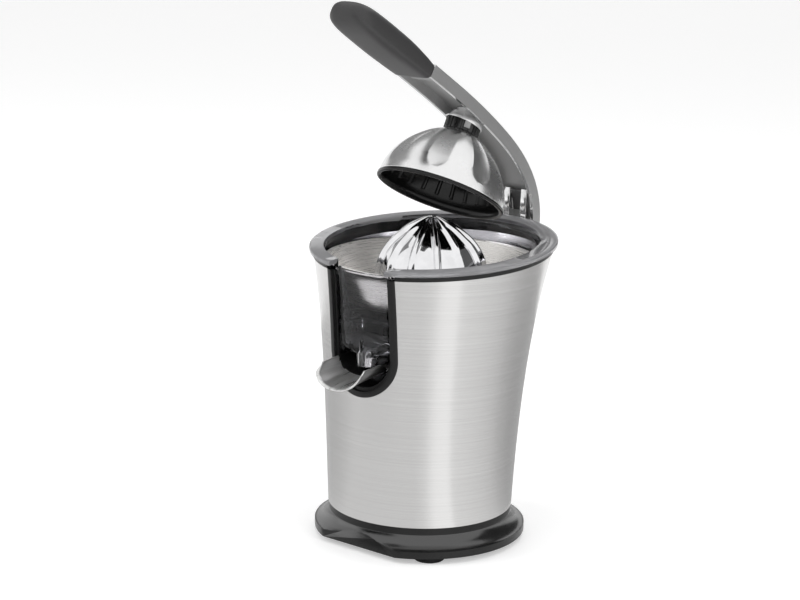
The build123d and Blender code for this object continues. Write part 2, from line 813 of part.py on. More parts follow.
with BuildPart() as motor_can:
    with BuildSketch(Plane.XY.offset(motor_bottom)):
        with Locations((motor_x, motor_y)):
            Circle(motor_radius)
    extrude(amount=motor_length)
    fillet(motor_can.faces().sort_by(Axis.Z)[0].edges(), 3)
    with BuildSketch(Plane.XY.offset(motor_bottom + motor_plate)):
        with Locations((motor_x, motor_y)):
            Circle(motor_radius - 6)
    extrude(amount=motor_length - 2 * motor_plate, mode=Mode.SUBTRACT)
    with BuildSketch(Plane.XY.offset(motor_bottom)):
        with Locations((motor_x, motor_y)):
            Circle(motor_shaft_radius + running_fit)
    extrude(amount=motor_length, mode=Mode.SUBTRACT)
    with BuildSketch(Plane.XY.offset(motor_bottom)):
        with Locations(*polar(6, 15, 20, (motor_x, motor_y))):
            Circle(3)
    extrude(amount=motor_plate, mode=Mode.SUBTRACT)
    with BuildSketch(Plane.XY.offset(motor_top - motor_plate)):
        with Locations(*motor_post_places):
            Circle(motor_screw_diameter / 2 + running_fit)
    extrude(amount=motor_plate, mode=Mode.SUBTRACT)
save(motor_can, "motor_can")

with BuildPart() as motor_screws:
    motor_screw_head = motor_top - motor_plate - 0.6 * motor_screw_diameter
    add(pan_screws(motor_post_places, motor_screw_diameter, motor_screw_head, motor_plate + 8.0))
save(motor_screws, "motor_screws")

# ---- start switch ------------------------------------------------------------------------

switch_top = gearbox_floor - 3.6
switch_size = (6.4, 20.0, 10.0)
switch_bottom = switch_top - switch_size[2]
switch_front = 8.0 - switch_size[1]
plunger_radius = 1.8
plunger_rise = 2.6
rod_bottom = switch_top + plunger_rise + contact_gap

with BuildPart() as switch_bracket:
    hanger_x = switch_size[0] / 2 + 0.1
    add(block(hanger_x, hanger_x + 1.6, switch_front, 6, switch_bottom, gearbox_floor))
    add(block(hanger_x, hanger_x + 7.0, switch_front, -4, gearbox_floor - 1.6, gearbox_floor))
save(switch_bracket, "switch_bracket")

with BuildPart() as start_switch:
    add(block(-switch_size[0] / 2, switch_size[0] / 2, switch_front, 8.0, switch_bottom, switch_top))
    chamfer(start_switch.edges().filter_by(Axis.Z), 0.6)
    with BuildSketch(Plane.XY.offset(switch_top)):
        Circle(plunger_radius + running_fit)
    extrude(amount=-6, mode=Mode.SUBTRACT)
    with BuildSketch(Plane.XY.offset(switch_bottom)):
        with Locations((0, -9), (0, -2), (0, 5)):
            Rectangle(0.8, 4.0)
    extrude(amount=-5)
save(start_switch, "start_switch")

with BuildPart() as switch_plunger:
    with BuildSketch(Plane.XY.offset(switch_top - 6 + press_travel + 0.4)):
        Circle(plunger_radius)
    extrude(amount=6 - press_travel - 0.4 + plunger_rise)
save(switch_plunger, "switch_plunger")

# ---- juice bowl --------------------------------------------------------------------------

window_offset = -window_inset


def bowl_solid(inset):
    """The round body of the bowl, moved inwards by inset; open-topped cuts follow."""
    with BuildPart() as solid:
        with BuildSketch(front_plane):
            with BuildLine():
                Polyline(
                    (0, bowl_floor_height + inset),
                    (bowl_floor_radius - inset, bowl_floor_height + inset),
                    (bowl_ledge_radius + bowl_wall - inset, bowl_ledge_height - bowl_wall),
                    (bowl_upper_radius + bowl_wall - inset, bowl_ledge_height + 1),
                    (bowl_upper_radius + bowl_wall - inset + 0.3, lip_bottom + 14),
                    (0, lip_bottom + 14),
                    close=True,
                )
            make_face()
        revolve(axis=Axis.Z)
    return solid.part


def chute_solid(inset, floor):
    """The box in front of the bowl that fills the slot, moved inwards by inset."""
    half = window_half_width - inset
    with BuildPart() as solid:
        add(block(-half, half, -120, chute_back_y + inset, floor, lip_bottom + 20))
        add(skin(window_offset - inset), mode=Mode.INTERSECT)
    return solid.part


with BuildPart() as bowl_hollow:
    with BuildSketch(front_plane):
        with BuildLine():
            Polyline(
                (0, bowl_floor_height + bowl_wall),
                (bowl_floor_radius - bowl_wall, bowl_floor_height + bowl_wall),
                (bowl_ledge_radius, bowl_ledge_height),
                (bowl_upper_radius, bowl_ledge_height),
                (bowl_upper_radius + 0.3, lip_bottom + 20),
                (0, lip_bottom + 20),
                close=True,
            )
        make_face()
    revolve(axis=Axis.Z)

with BuildPart() as juice_bowl:
    add(bowl_solid(0))
    split(bisect_by=rim_plane(lip_bottom), keep=Keep.BOTTOM)
    with BuildSketch(rim_plane(lip_bottom)):
        Circle(lip_radius)
    extrude(amount=lip_thickness)
    fillet(juice_bowl.faces().sort_by(Axis.Z)[-1].edges(), 1.2)
    notch = block(-lip_notch_half_width, lip_notch_half_width, -120, -60, lip_bottom - 14, 240)
    add(notch, mode=Mode.SUBTRACT)
    with BuildPart(mode=Mode.PRIVATE) as chute:
        add(chute_solid(0, chute_floor_height))
        split(bisect_by=rim_plane(lip_bottom - notch_drop), keep=Keep.BOTTOM)
    add(chute.part)
    with BuildSketch(Plane.XY.offset(nozzle_bottom)):
        with Locations((0, nozzle_y)):
            Circle(nozzle_radius)
    extrude(amount=chute_floor_height + 1 - nozzle_bottom)
    add(bowl_hollow.part, mode=Mode.SUBTRACT)
    add(chute_solid(bowl_wall, chute_floor_height + bowl_wall), mode=Mode.SUBTRACT)
    with BuildSketch(Plane.XY.offset(nozzle_bottom)):
        with Locations((0, nozzle_y)):
            Circle(nozzle_bore_radius)
    extrude(amount=chute_floor_height + 10 - nozzle_bottom, mode=Mode.SUBTRACT)
    with BuildSketch(Plane.XY.offset(bowl_floor_height)):
        Circle(chimney_bore_radius + chimney_wall)
    extrude(amount=chimney_top - bowl_floor_height)
    with BuildSketch(Plane.XY.offset(bowl_floor_height)):
        Circle(chimney_bore_radius)
    extrude(amount=chimney_top - bowl_floor_height, mode=Mode.SUBTRACT)
save(juice_bowl, "juice_bowl")

# ---- strainer ----------------------------------------------------------------------------

with BuildPart() as strainer:
    rim_seat = bowl_ledge_height
    corner_radius = strainer_floor_radius + strainer_corner_width
    corner_height = strainer_floor_height + strainer_corner_rise
    with BuildSketch(front_plane):
        with BuildLine():
            Polyline(
                (strainer_hole_radius, strainer_floor_height),
                (strainer_floor_radius, strainer_floor_height),
                (corner_radius, corner_height),
                (strainer_shoulder_radius, rim_seat),
                (strainer_rim_radius, rim_seat),
                (strainer_rim_radius, rim_seat + strainer_rim_thickness),
                (strainer_shoulder_radius - strainer_wall, rim_seat + strainer_rim_thickness),
                (corner_radius - 0.8, corner_height + 0.6),
                (strainer_floor_radius - 0.4, strainer_floor_height + strainer_wall),
                (strainer_hole_radius + strainer_wall, strainer_floor_height + strainer_wall),
                (strainer_hole_radius + strainer_wall, strainer_floor_height + 6),
                (strainer_hole_radius, strainer_floor_height + 6),
                close=True,
            )
        make_face()
    revolve(axis=Axis.Z)
    with BuildSketch(Plane.XY.offset(strainer_floor_height - 1)):
        for ring in (24.0, 38.0, 52.0):
            with PolarLocations(ring, int(strainer_slot_count * ring / 52.0)):
                SlotOverall(strainer_slot_length - 2, strainer_slot_width)
    extrude(amount=4, mode=Mode.SUBTRACT)
save(strainer, "strainer")

# ---- reamer ------------------------------------------------------------------------------


def reamer_dome(radius, tip):
    """A pointed dome: a sphere's flank that runs up to a tip."""
    slope_height = 0.74 * radius
    slope_radius = sqrt(radius**2 - slope_height**2)
    skirt_radius = sqrt(radius**2 - (reamer_sphere_height - reamer_bottom) ** 2)
    with BuildPart() as solid:
        with BuildSketch(front_plane):
            with BuildLine():
                Line((0, reamer_bottom), (skirt_radius + 1.6, reamer_bottom))
                flank = ThreePointArc(
                    (skirt_radius + 1.6, reamer_bottom),
                    (radius, reamer_sphere_height + 2),
                    (slope_radius, reamer_sphere_height + slope_height),
                )
                nose = TangentArc(flank @ 1, (2.5, tip), tangent=flank % 1)
                Line(nose @ 1, (0, tip))
                Line((0, tip), (0, reamer_bottom))
            make_face()
        revolve(axis=Axis.Z)
    return solid.part


with BuildPart() as reamer_ribs:
    add(reamer_dome(reamer_rib_radius, reamer_tip))
    with BuildSketch(Plane.XY.offset(reamer_bottom)):
        with PolarLocations(25, reamer_rib_count, start_angle=15):
            Rectangle(46, reamer_rib_width)
    extrude(amount=80, mode=Mode.INTERSECT)

with BuildPart() as reamer_cone:
    add(reamer_dome(reamer_core_radius, reamer_tip - 2.5))
    add(reamer_ribs.part)
    with BuildSketch(front_plane):
        with BuildLine():
            inner = reamer_core_radius - reamer_wall
            Line((0, reamer_bottom - 1), (inner - 1.2, reamer_bottom - 1))
            Line((inner - 1.2, reamer_bottom - 1), (inner, reamer_sphere_height))
            CenterArc((0, reamer_sphere_height), inner, 0, 90)
            Line((0, reamer_sphere_height + inner), (0, reamer_bottom - 1))
        make_face()
    revolve(axis=Axis.Z, mode=Mode.SUBTRACT)
save(reamer_cone, "reamer_cone")

with BuildPart() as reamer_hub:
    hub_dome = reamer_core_radius - reamer_wall - fit
    with BuildSketch(front_plane):
        with BuildLine():
            Line((0, hub_bottom), (hub_dome - 1.2, hub_bottom))
            Line((hub_dome - 1.2, hub_bottom), (hub_dome, reamer_sphere_height))
            CenterArc((0, reamer_sphere_height), hub_dome, 0, 90)
            Line((0, reamer_sphere_height + hub_dome), (0, hub_bottom))
        make_face()
    revolve(axis=Axis.Z)
    with BuildSketch(Plane.XY.offset(hub_bottom)):
        Circle(hub_radius)
        for angle in (0, 60, 120):
            Rectangle(90, hub_web, rotation=angle)
    extrude(amount=spindle_top + press_travel + 5 - hub_bottom, mode=Mode.INTERSECT)
    with BuildSketch(Plane.XY.offset(hub_bottom)):
        RegularPolygon(spindle_hex / 2 + fit, 6, major_radius=False)
    extrude(amount=spindle_top + press_travel + 0.6 - hub_bottom, mode=Mode.SUBTRACT)
    with BuildSketch(Plane.XY.offset(hub_bottom)):
        Circle(spindle_radius + 2 * fit)
    extrude(amount=press_travel + 1.0, mode=Mode.SUBTRACT)
save(reamer_hub, "reamer_hub")

with BuildPart() as push_rod:
    with BuildSketch(Plane.XY.offset(rod_bottom)):
        Circle(rod_radius)
    extrude(amount=spindle_top + press_travel + 0.6 - rod_bottom)
save(push_rod, "push_rod")

# ---- spout -------------------------------------------------------------------------------


def trough_section(y, height, depth, inset, rise):
    """A round-bottomed face across the spout, with straight sides above its open line."""
    plane = Plane(origin=(0, y, height), x_dir=(1, 0, 0), z_dir=(0, -1, 0))
    half_width = spout_half_width - inset
    with BuildSketch(plane) as sketch:
        Ellipse(half_width, depth - inset)
        Rectangle(2 * spout_half_width, depth, align=(Align.CENTER, Align.MAX), mode=Mode.INTERSECT)
        if rise > 0:
            Rectangle(2 * half_width, rise, align=(Align.CENTER, Align.MIN))
    return sketch.sketch


def trough_solid(inset, rise):
    with BuildPart() as solid:
        add(trough_section(spout_root_y + inset, spout_root_height, spout_root_depth, inset, rise))
        lip_y = spout_lip_y - spout_lip_overhang - 2 * inset
        add(trough_section(lip_y, spout_lip_height, spout_lip_depth, inset, rise))
        loft()
    return solid.part


with BuildPart() as pour_spout:
    with BuildSketch(side_plane.offset(-slot_inner_half_width - pocket_wall + contact_gap)):
        with Locations((spout_pin_y, spout_pin_height)):
            Circle(spout_pin_radius)
    extrude(amount=2 * (slot_inner_half_width + pocket_wall - contact_gap))
    with BuildSketch(side_plane.offset(-spout_boss_reach)):
        with Locations((spout_pin_y, spout_pin_height)):
            Circle(spout_pin_radius + 1.6)
    extrude(amount=2 * spout_boss_reach)
    add(trough_solid(0, 0))
    add(trough_solid(spout_wall, 3.0), mode=Mode.SUBTRACT)
    with BuildPart(mode=Mode.PRIVATE) as lip_cut:
        with BuildSketch(side_plane.offset(-40)):
            with BuildLine():
                top = (spout_lip_y + 4.5, spout_lip_height + 6)
                low = (spout_lip_y - spout_lip_overhang + 1.4, spout_lip_height - spout_lip_depth)
                ThreePointArc(top, (spout_lip_y - 4.5, spout_lip_height - 4), low)
                Line(low, (low[0], low[1] - 8))
                Line((low[0], low[1] - 8), (low[0] - 30, low[1] - 8))
                Line((low[0] - 30, low[1] - 8), (low[0] - 30, top[1]))
                Line((low[0] - 30, top[1]), top)
            make_face()
        extrude(amount=80)
    add(lip_cut.part, mode=Mode.SUBTRACT)
save(pour_spout, "pour_spout")

# ---- hinge bracket -----------------------------------------------------------------------

with BuildPart() as hinge_bracket:
    add(skin(bracket_pad))
    add(skin(contact_gap / 3), mode=Mode.SUBTRACT)
    pad_limits = block(-bracket_half_width, bracket_half_width, 30, 120, bracket_bottom, bracket_top)
    add(pad_limits, mode=Mode.INTERSECT)
    with BuildPart(mode=Mode.PRIVATE) as post:
        with BuildSketch(side_plane.offset(-post_half_width)):
            with BuildLine():
                Polyline(
                    (74, bracket_bottom + 2),
                    (84, bracket_bottom + 2),
                    (pivot_y + 5.0, pivot_height - 4.0),
                    (pivot_y - 4.6, pivot_height + 4.2),
                    (92.0, bracket_top + 3),
                    (80, bracket_top - 2),
                    close=True,
                )
            make_face()
            with Locations((pivot_y, pivot_height)):
                Circle(ear_end_radius)
        extrude(amount=2 * post_half_width)
        add(skin(contact_gap / 3), mode=Mode.SUBTRACT)
    add(post.part)
    with BuildSketch(side_plane.offset(-60)):
        with Locations((pivot_y, pivot_height)):
            Circle(pin_radius + running_fit)
    extrude(amount=120, mode=Mode.SUBTRACT)
    with BuildSketch(Plane.XZ):
        for height in screw_heights:
            with Locations((0, height)):
                Circle(bracket_screw_diameter / 2 + running_fit)
    extrude(amount=-(section_centre(bracket_top) + section_radius(bracket_top) + 1), mode=Mode.SUBTRACT)
save(hinge_bracket, "hinge_bracket")

with BuildPart() as bracket_screws:
    for height in screw_heights:
        inner = section_centre(height) + section_radius(height) - shell_wall
        plane = Plane(origin=(0, inner - 3.4, height), x_dir=(1, 0, 0), z_dir=(0, 1, 0))
        with BuildSketch(plane):
            Circle(bracket_screw_diameter)
        extrude(amount=2.4)
        with BuildSketch(plane):
            Circle(bracket_screw_diameter / 2)
        extrude(amount=2.4 + 1.0 + shell_wall + 3.2)
save(bracket_screws, "bracket_screws")

with BuildPart() as hinge_pin:
    pin_half = arm_half_width + 0.6
    with BuildSketch(side_plane.offset(-pin_half)):
        with Locations((pivot_y, pivot_height)):
            Circle(pin_radius)
    extrude(amount=2 * pin_half)
    chamfer(hinge_pin.faces().filter_by(Axis.X).edges(), 0.4)
save(hinge_pin, "hinge_pin")

# ---- lever arm ---------------------------------------------------------------------------


def arm_curve(distance):
    """The arm's outer line in the side view, moved inwards by this distance."""
    return moved(arm_outline, distance)


def arm_band(near, far, half_width):
    """The band between two lines inside the arm's outer line, full width."""
    outer = arm_curve(near)
    inner = arm_curve(far)
    with BuildPart() as solid:
        with BuildSketch(side_plane.offset(-half_width)):
            with BuildLine():
                Spline(*outer)
                Line(outer[-1], inner[-1])
                Spline(*inner)
                Line(inner[0], outer[0])
            make_face()
        extrude(amount=2 * half_width)
    return solid.part


grip_start = Plane(origin=(0, arm_end[0], arm_end[1]), x_dir=(1, 0, 0), z_dir=grip_direction)
ear_faces = (ear_centre_x - ear_thickness / 2, ear_centre_x + ear_thickness / 2)
flange_faces = (arm_half_width - arm_wall, arm_half_width)


def side_plates(points, faces, hub):
    """A mirrored pair of plates between two distances from the middle, round at the hinge."""
    with BuildPart() as solid:
        for start in (faces[0], -faces[1]):
            with BuildSketch(side_plane.offset(start)):
                with BuildLine():
                    Polyline(*points, close=True)
                make_face()
                with Locations((pivot_y, pivot_height)):
                    Circle(hub)
            extrude(amount=faces[1] - faces[0])
    return solid.part


flange_foot = [
    (pivot_y + ear_end_radius, pivot_height),
    (pivot_y - ear_end_radius, pivot_height),
    (lip_clear_y, pivot_height + 12),
    (lip_clear_y, arm_outline[0][1] + 1),
    (arm_outline[0][0], arm_outline[0][1] + 1),
]
lip_relief = [
    (lip_clear_y - 12, arm_outline[0][1] - 2),
    (lip_clear_y, arm_outline[0][1] - 2),
    (lip_clear_y, arm_outline[0][1] + 12),
    (lip_clear_y - 2.4, arm_outline[0][1] + 22),
    (lip_clear_y - 12, arm_outline[0][1] + 22),
]

with BuildPart() as lever_arm:
    add(arm_band(0, arm_depth, arm_half_width))
    add(arm_band(arm_wall, arm_depth + 6, arm_half_width - arm_wall), mode=Mode.SUBTRACT)
    split(bisect_by=grip_start, keep=Keep.BOTTOM)
    with BuildSketch(side_plane.offset(-arm_half_width)):
        with BuildLine():
            Polyline(*lip_relief, close=True)
        make_face()
    extrude(amount=2 * arm_half_width, mode=Mode.SUBTRACT)
    add(side_plates(flange_foot, flange_faces, ear_end_radius))
    with BuildSketch(tang_plane.offset(-tang_thickness / 2)):
        Rectangle(2 * tang_half_width, tang_length, align=(Align.CENTER, Align.MIN))
        Rectangle(2 * tang_half_width, tang_root, align=(Align.CENTER, Align.MAX))
    extrude(amount=tang_thickness)
    with BuildSketch(tang_plane.offset(-tang_thickness)):
        with Locations(*grip_key_places):
            Circle(grip_key_diameter / 2 + fit)
    extrude(amount=2 * tang_thickness, mode=Mode.SUBTRACT)
    with BuildSketch(side_plane.offset(-60)):
        with Locations((pivot_y, pivot_height)):
            Circle(pin_radius + running_fit)
    extrude(amount=120, mode=Mode.SUBTRACT)
save(lever_arm, "lever_arm")

ear_outline = [
    (pivot_y + ear_end_radius, pivot_height),
    (pivot_y - ear_end_radius, pivot_height),
    (pivot_y - 5.8, pivot_height + 10.0),
    (pivot_y + 1.8, pivot_height + 37.0),
    (pivot_y + 4.0, pivot_height + 37.0),
    (pivot_y + 4.0, pivot_height + 11.6),
]

with BuildPart() as hinge_ears:
    add(side_plates(ear_outline, ear_faces, ear_end_radius))
    with BuildPart(mode=Mode.PRIVATE) as bridge:
        add(arm_band(arm_wall, arm_wall + 2.4, ear_faces[1]))
        add(block(-30, 30, 80, 120, pivot_height + 17, pivot_height + 34), mode=Mode.INTERSECT)
    add(bridge.part)
    add(arm_band(-8, arm_wall + fit / 2, 30), mode=Mode.SUBTRACT)
    with BuildSketch(side_plane.offset(-60)):
        with Locations((pivot_y, pivot_height)):
            Circle(pin_radius + running_fit)
    extrude(amount=120, mode=Mode.SUBTRACT)
save(hinge_ears, "hinge_ears")

# ---- grip --------------------------------------------------------------------------------

with BuildPart() as grip:
    with BuildSketch(side_plane.offset(-grip_half_width)):
        with BuildLine():
            Spline(*grip_top_outline)
            ThreePointArc(grip_top_outline[-1], grip_nose, grip_bottom_outline[0])
            Spline(*grip_bottom_outline)
            Line(grip_bottom_outline[-1], grip_top_outline[0])
        make_face()
    extrude(amount=2 * grip_half_width)
    with BuildSketch(tang_plane.offset(-30)):
        with BuildLine():
            shoulder = grip_length - grip_tip_radius
            side = Line((-grip_half_width, -10), (-grip_half_width + grip_taper, shoulder))
            end = ThreePointArc(side @ 1, (0, grip_length), (grip_half_width - grip_taper, shoulder))
            Line(end @ 1, (grip_half_width, -10))
            Line((grip_half_width, -10), (-grip_half_width, -10))
        make_face()
    extrude(amount=60, mode=Mode.INTERSECT)
    fillet(grip.edges().filter_by(lambda edge: edge.length > 60), grip_edge)
    split(bisect_by=grip_start.offset(fit), keep=Keep.TOP)
    with BuildSketch(tang_plane.offset(-tang_thickness / 2 - fit)):
        Rectangle(2 * (tang_half_width + fit), tang_length + fit, align=(Align.CENTER, Align.MIN))
    extrude(amount=tang_thickness + 2 * fit, mode=Mode.SUBTRACT)
    with BuildSketch(tang_plane.offset(-tang_thickness / 2 - fit)):
        with Locations(*grip_key_places):
            Circle(grip_key_diameter / 2)
    extrude(amount=tang_thickness + 2 * fit)
save(grip, "grip")

# ---- press cup ---------------------------------------------------------------------------


def cup_dome(inset, start):
    """The dome inside the cup's outline moved inwards by inset, open at its rim."""
    outline = moved(cup_outline, inset)
    outline[0] = (outline[0][0], start)
    outline[-1] = (outline[-1][0], cup_outline[-1][1] - inset)
    with BuildPart() as solid:
        with BuildSketch(cup_plane):
            with BuildLine():
                Line((0, start), outline[0])
                Spline(*outline)
                Line(outline[-1], (0, outline[-1][1]))
                Line((0, outline[-1][1]), (0, start))
            make_face()
        revolve(axis=cup_centre_axis)
    return solid.part


cup_top = cup_outline[-1][1]
liner_outer = cup_wall + fit
liner_inner = liner_outer + liner_wall
liner_top = cup_top - liner_outer
liner_ceiling = liner_top - liner_wall

with BuildPart() as press_cup:
    add(cup_dome(0, 0))
    add(cup_dome(cup_wall, -0.5), mode=Mode.SUBTRACT)
    with BuildSketch(cup_level(cup_top - 6)):
        Circle(stem_radius + fit)
    extrude(amount=12, mode=Mode.SUBTRACT)
save(press_cup, "press_cup")

with BuildPart() as cup_liner:
    add(cup_dome(liner_outer, 0))
    with BuildSketch(cup_level(0)):
        Circle(cup_outline[0][0] + 0.6)
    extrude(amount=-liner_rim)
    fillet(cup_liner.edges().filter_by(GeomType.CIRCLE).sort_by(SortBy.RADIUS)[-1], 0.8)
    add(cup_dome(liner_inner, -1), mode=Mode.SUBTRACT)
    with BuildSketch(cup_level(0.5)):
        Circle(cup_outline[0][0] + 0.6 - liner_rim_width)
    extrude(amount=-liner_rim - 1, mode=Mode.SUBTRACT)
    with BuildSketch(cup_level(cup_top - 8)):
        Circle(stem_radius - 2.0)
    extrude(amount=12, mode=Mode.SUBTRACT)
save(cup_liner, "cup_liner")

ring_bottom = cup_top + ring_clearance
with BuildPart() as cup_lock_ring:
    with BuildSketch(cup_level(ring_bottom)):
        Circle(ring_radius)
        Circle(stem_radius + fit, mode=Mode.SUBTRACT)
        with PolarLocations(ring_radius + 0.3, ring_grooves):
            Circle(0.9, mode=Mode.SUBTRACT)
    extrude(amount=ring_height)
save(cup_lock_ring, "cup_lock_ring")

disc_bottom = ring_bottom + ring_height + contact_gap
with BuildPart() as cup_boss:
    with BuildSketch(cup_level(disc_bottom)):
        Circle(boss_disc_radius)
    extrude(amount=boss_disc_height)
    with BuildSketch(cup_level(disc_bottom)):
        Circle(stem_radius + 0.8)
        with PolarLocations(0, boss_rib_count):
            Rectangle(2 * boss_disc_radius - 4, 2.4)
    extrude(amount=26)
    add(arm_band(arm_wall + fit / 2, 42, flange_faces[0] - fit), mode=Mode.INTERSECT)
    with BuildSketch(cup_level(liner_top + fit)):
        Circle(stem_radius)
    extrude(amount=disc_bottom - liner_top - fit)
    with BuildSketch(cup_level(liner_top - 1)):
        Circle(nut_shank_radius + running_fit)
    extrude(amount=14, mode=Mode.SUBTRACT)
save(cup_boss, "cup_boss")

with BuildPart() as cup_nut:
    with BuildSketch(cup_level(liner_ceiling - fit)):
        Circle(nut_radius)
    extrude(amount=-3.0)
    fillet(cup_nut.faces().sort_by(Axis.Z)[0].edges(), 1.0)
    with BuildSketch(cup_level(liner_ceiling - fit)):
        Circle(nut_shank_radius)
    extrude(amount=13.0)
save(cup_nut, "cup_nut")
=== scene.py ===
import json
import math

import bmesh
import bpy
from mathutils import Matrix, Vector


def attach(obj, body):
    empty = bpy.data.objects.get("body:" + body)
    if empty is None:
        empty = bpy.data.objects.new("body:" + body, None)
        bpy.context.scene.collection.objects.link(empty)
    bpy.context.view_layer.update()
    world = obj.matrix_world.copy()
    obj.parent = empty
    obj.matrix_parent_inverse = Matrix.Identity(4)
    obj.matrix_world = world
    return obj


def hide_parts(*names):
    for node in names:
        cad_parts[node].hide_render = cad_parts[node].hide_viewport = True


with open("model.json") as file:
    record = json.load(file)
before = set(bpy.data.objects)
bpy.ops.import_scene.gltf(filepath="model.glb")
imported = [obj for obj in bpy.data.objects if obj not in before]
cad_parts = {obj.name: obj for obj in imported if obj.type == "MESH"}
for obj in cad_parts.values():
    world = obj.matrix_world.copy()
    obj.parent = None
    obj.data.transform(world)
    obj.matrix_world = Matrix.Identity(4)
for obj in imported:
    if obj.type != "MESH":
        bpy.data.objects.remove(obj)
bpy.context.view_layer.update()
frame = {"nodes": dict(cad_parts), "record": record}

mm = 0.001  # shapes are worked in millimetres and brought to metres when they are placed


# shapes

def turnedShape(line, steps):
    # a (radius, height) line spun once round the upright axis; a closed line repeats its first point
    shape = bmesh.new()
    closed = line[0] == line[-1]
    corners = [shape.verts.new((radius, 0, height)) for radius, height in (line[:-1] if closed else line)]
    edges = [shape.edges.new(pair) for pair in zip(corners, corners[1:])]
    if closed:
        edges.append(shape.edges.new((corners[-1], corners[0])))
    bmesh.ops.spin(shape, geom=corners + edges, cent=(0, 0, 0), axis=(0, 0, 1), angle=2 * math.pi,
                   steps=steps, use_merge=True)
    bmesh.ops.remove_doubles(shape, verts=shape.verts, dist=0.002)
    bmesh.ops.recalc_face_normals(shape, faces=shape.faces)
    return shape


def gridShape(across, along, place):
    # a fine sheet whose corners are moved by place(u, v); sides that meet are joined
    shape = bmesh.new()
    bmesh.ops.create_grid(shape, x_segments=across, y_segments=along, size=0.5)
    for vertex in shape.verts:
        vertex.co = place(vertex.co.x + 0.5, vertex.co.y + 0.5)
    bmesh.ops.remove_doubles(shape, verts=shape.verts, dist=0.002)
    bmesh.ops.recalc_face_normals(shape, faces=shape.faces)
    return shape


def smoothLine(points, steps):
    # a flowing curve through the points, in short pieces
    line = []
    for i in range(len(points) - 1):
        near = [Vector(points[min(max(i + k, 0), len(points) - 1)]) for k in (-1, 0, 1, 2)]
        for k in range(steps):
            t = k / steps
            bend = 2 * near[0] - 5 * near[1] + 4 * near[2] - near[3]
            twist = 3 * near[1] - near[0] - 3 * near[2] + near[3]
            lean = near[2] - near[0]
            line.append(tuple(near[1] + lean * (t / 2) + bend * (t * t / 2) + twist * (t ** 3 / 2)))
    return line + [tuple(points[-1])]


def insetLine(points, distance):
    # the line moved to its left by the distance
    line = []
    for i, point in enumerate(points):
        along = (Vector(points[min(i + 1, len(points) - 1)]) - Vector(points[max(i - 1, 0)])).normalized()
        line.append((point[0] - distance * along.y, point[1] + distance * along.x))
    return line


def alongLine(points, t):
    # the value at t on a line of (t, value) points
    for (t0, v0), (t1, v1) in zip(points, points[1:]):
        if t <= t1:
            return v0 + (v1 - v0) * max(t - t0, 0) / (t1 - t0)
    return points[-1][1]


def easeStep(t):
    t = min(max(t, 0), 1)
    return t * t * (3 - 2 * t)


def turnsFrom(vertex, first, count):
    # how many degrees the vertex is from the nearest of evenly spaced bearings
    step = 360 / count
    turn = (math.degrees(math.atan2(vertex.co.y, vertex.co.x)) - first) % step
    return min(turn, step - turn)


def softBox(size, edge):
    # a box with rounded edges, about the origin
    shape = bmesh.new()
    bmesh.ops.create_cube(shape, size=1)
    bmesh.ops.scale(shape, vec=size, verts=shape.verts)
    bmesh.ops.bevel(shape, geom=shape.edges[:], offset=edge, segments=3, profile=0.5, affect="EDGES",
                    material=-1)
    return shape


def nodeShape(node):
    # a merged copy of a CAD solid, in millimetres
    shape = bmesh.new()
    shape.from_mesh(frame["nodes"][node].data)
    bmesh.ops.scale(shape, vec=(1 / mm, 1 / mm, 1 / mm), verts=shape.verts)
    bmesh.ops.remove_doubles(shape, verts=shape.verts, dist=0.004)
    return shape


def placePiece(name, shape, finish, body, nodes=(), place=None, smooth=32):
    # puts a finished shape into the scene, riding on its body
    if place is not None:
        bmesh.ops.transform(shape, matrix=place, verts=shape.verts)
    bmesh.ops.scale(shape, vec=(mm, mm, mm), verts=shape.verts)
    mesh = bpy.data.meshes.new(name)
    shape.to_mesh(mesh)
    shape.free()
    mesh.materials.append(finish)
    mesh.shade_smooth()
    mesh.set_sharp_from_angle(angle=math.radians(smooth))
    piece = bpy.data.objects.new(name, mesh)
    bpy.context.scene.collection.objects.link(piece)
    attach(piece, body)
    if nodes:
        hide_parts(*nodes)
    return piece


def softenEdges(piece, width):
    bevel = piece.modifiers.new("soft edges", "BEVEL")
    bevel.width = width * mm
    bevel.segments = 3
    bevel.limit_method = "ANGLE"
    bevel.angle_limit = math.radians(40)
    bevel.harden_normals = True


def thicken(piece, thickness):
    wall = piece.modifiers.new("wall", "SOLIDIFY")
    wall.thickness = thickness * mm
    wall.offset = -1
    return wall


# finishes

def newFinish(name, colour, metal, rough, **extras):
    finish = bpy.data.materials.new(name)
    finish.use_nodes = True
    shader = finish.node_tree.nodes["Principled BSDF"]
    shader.inputs["Base Color"].default_value = (*colour, 1)
    shader.inputs["Metallic"].default_value = metal
    shader.inputs["Roughness"].default_value = rough
    for socket, value in extras.items():
        shader.inputs[socket].default_value = value
    return finish


grain = {"detail": 3.0, "low": 0.35, "high": 0.65, "relief": 0.0002}


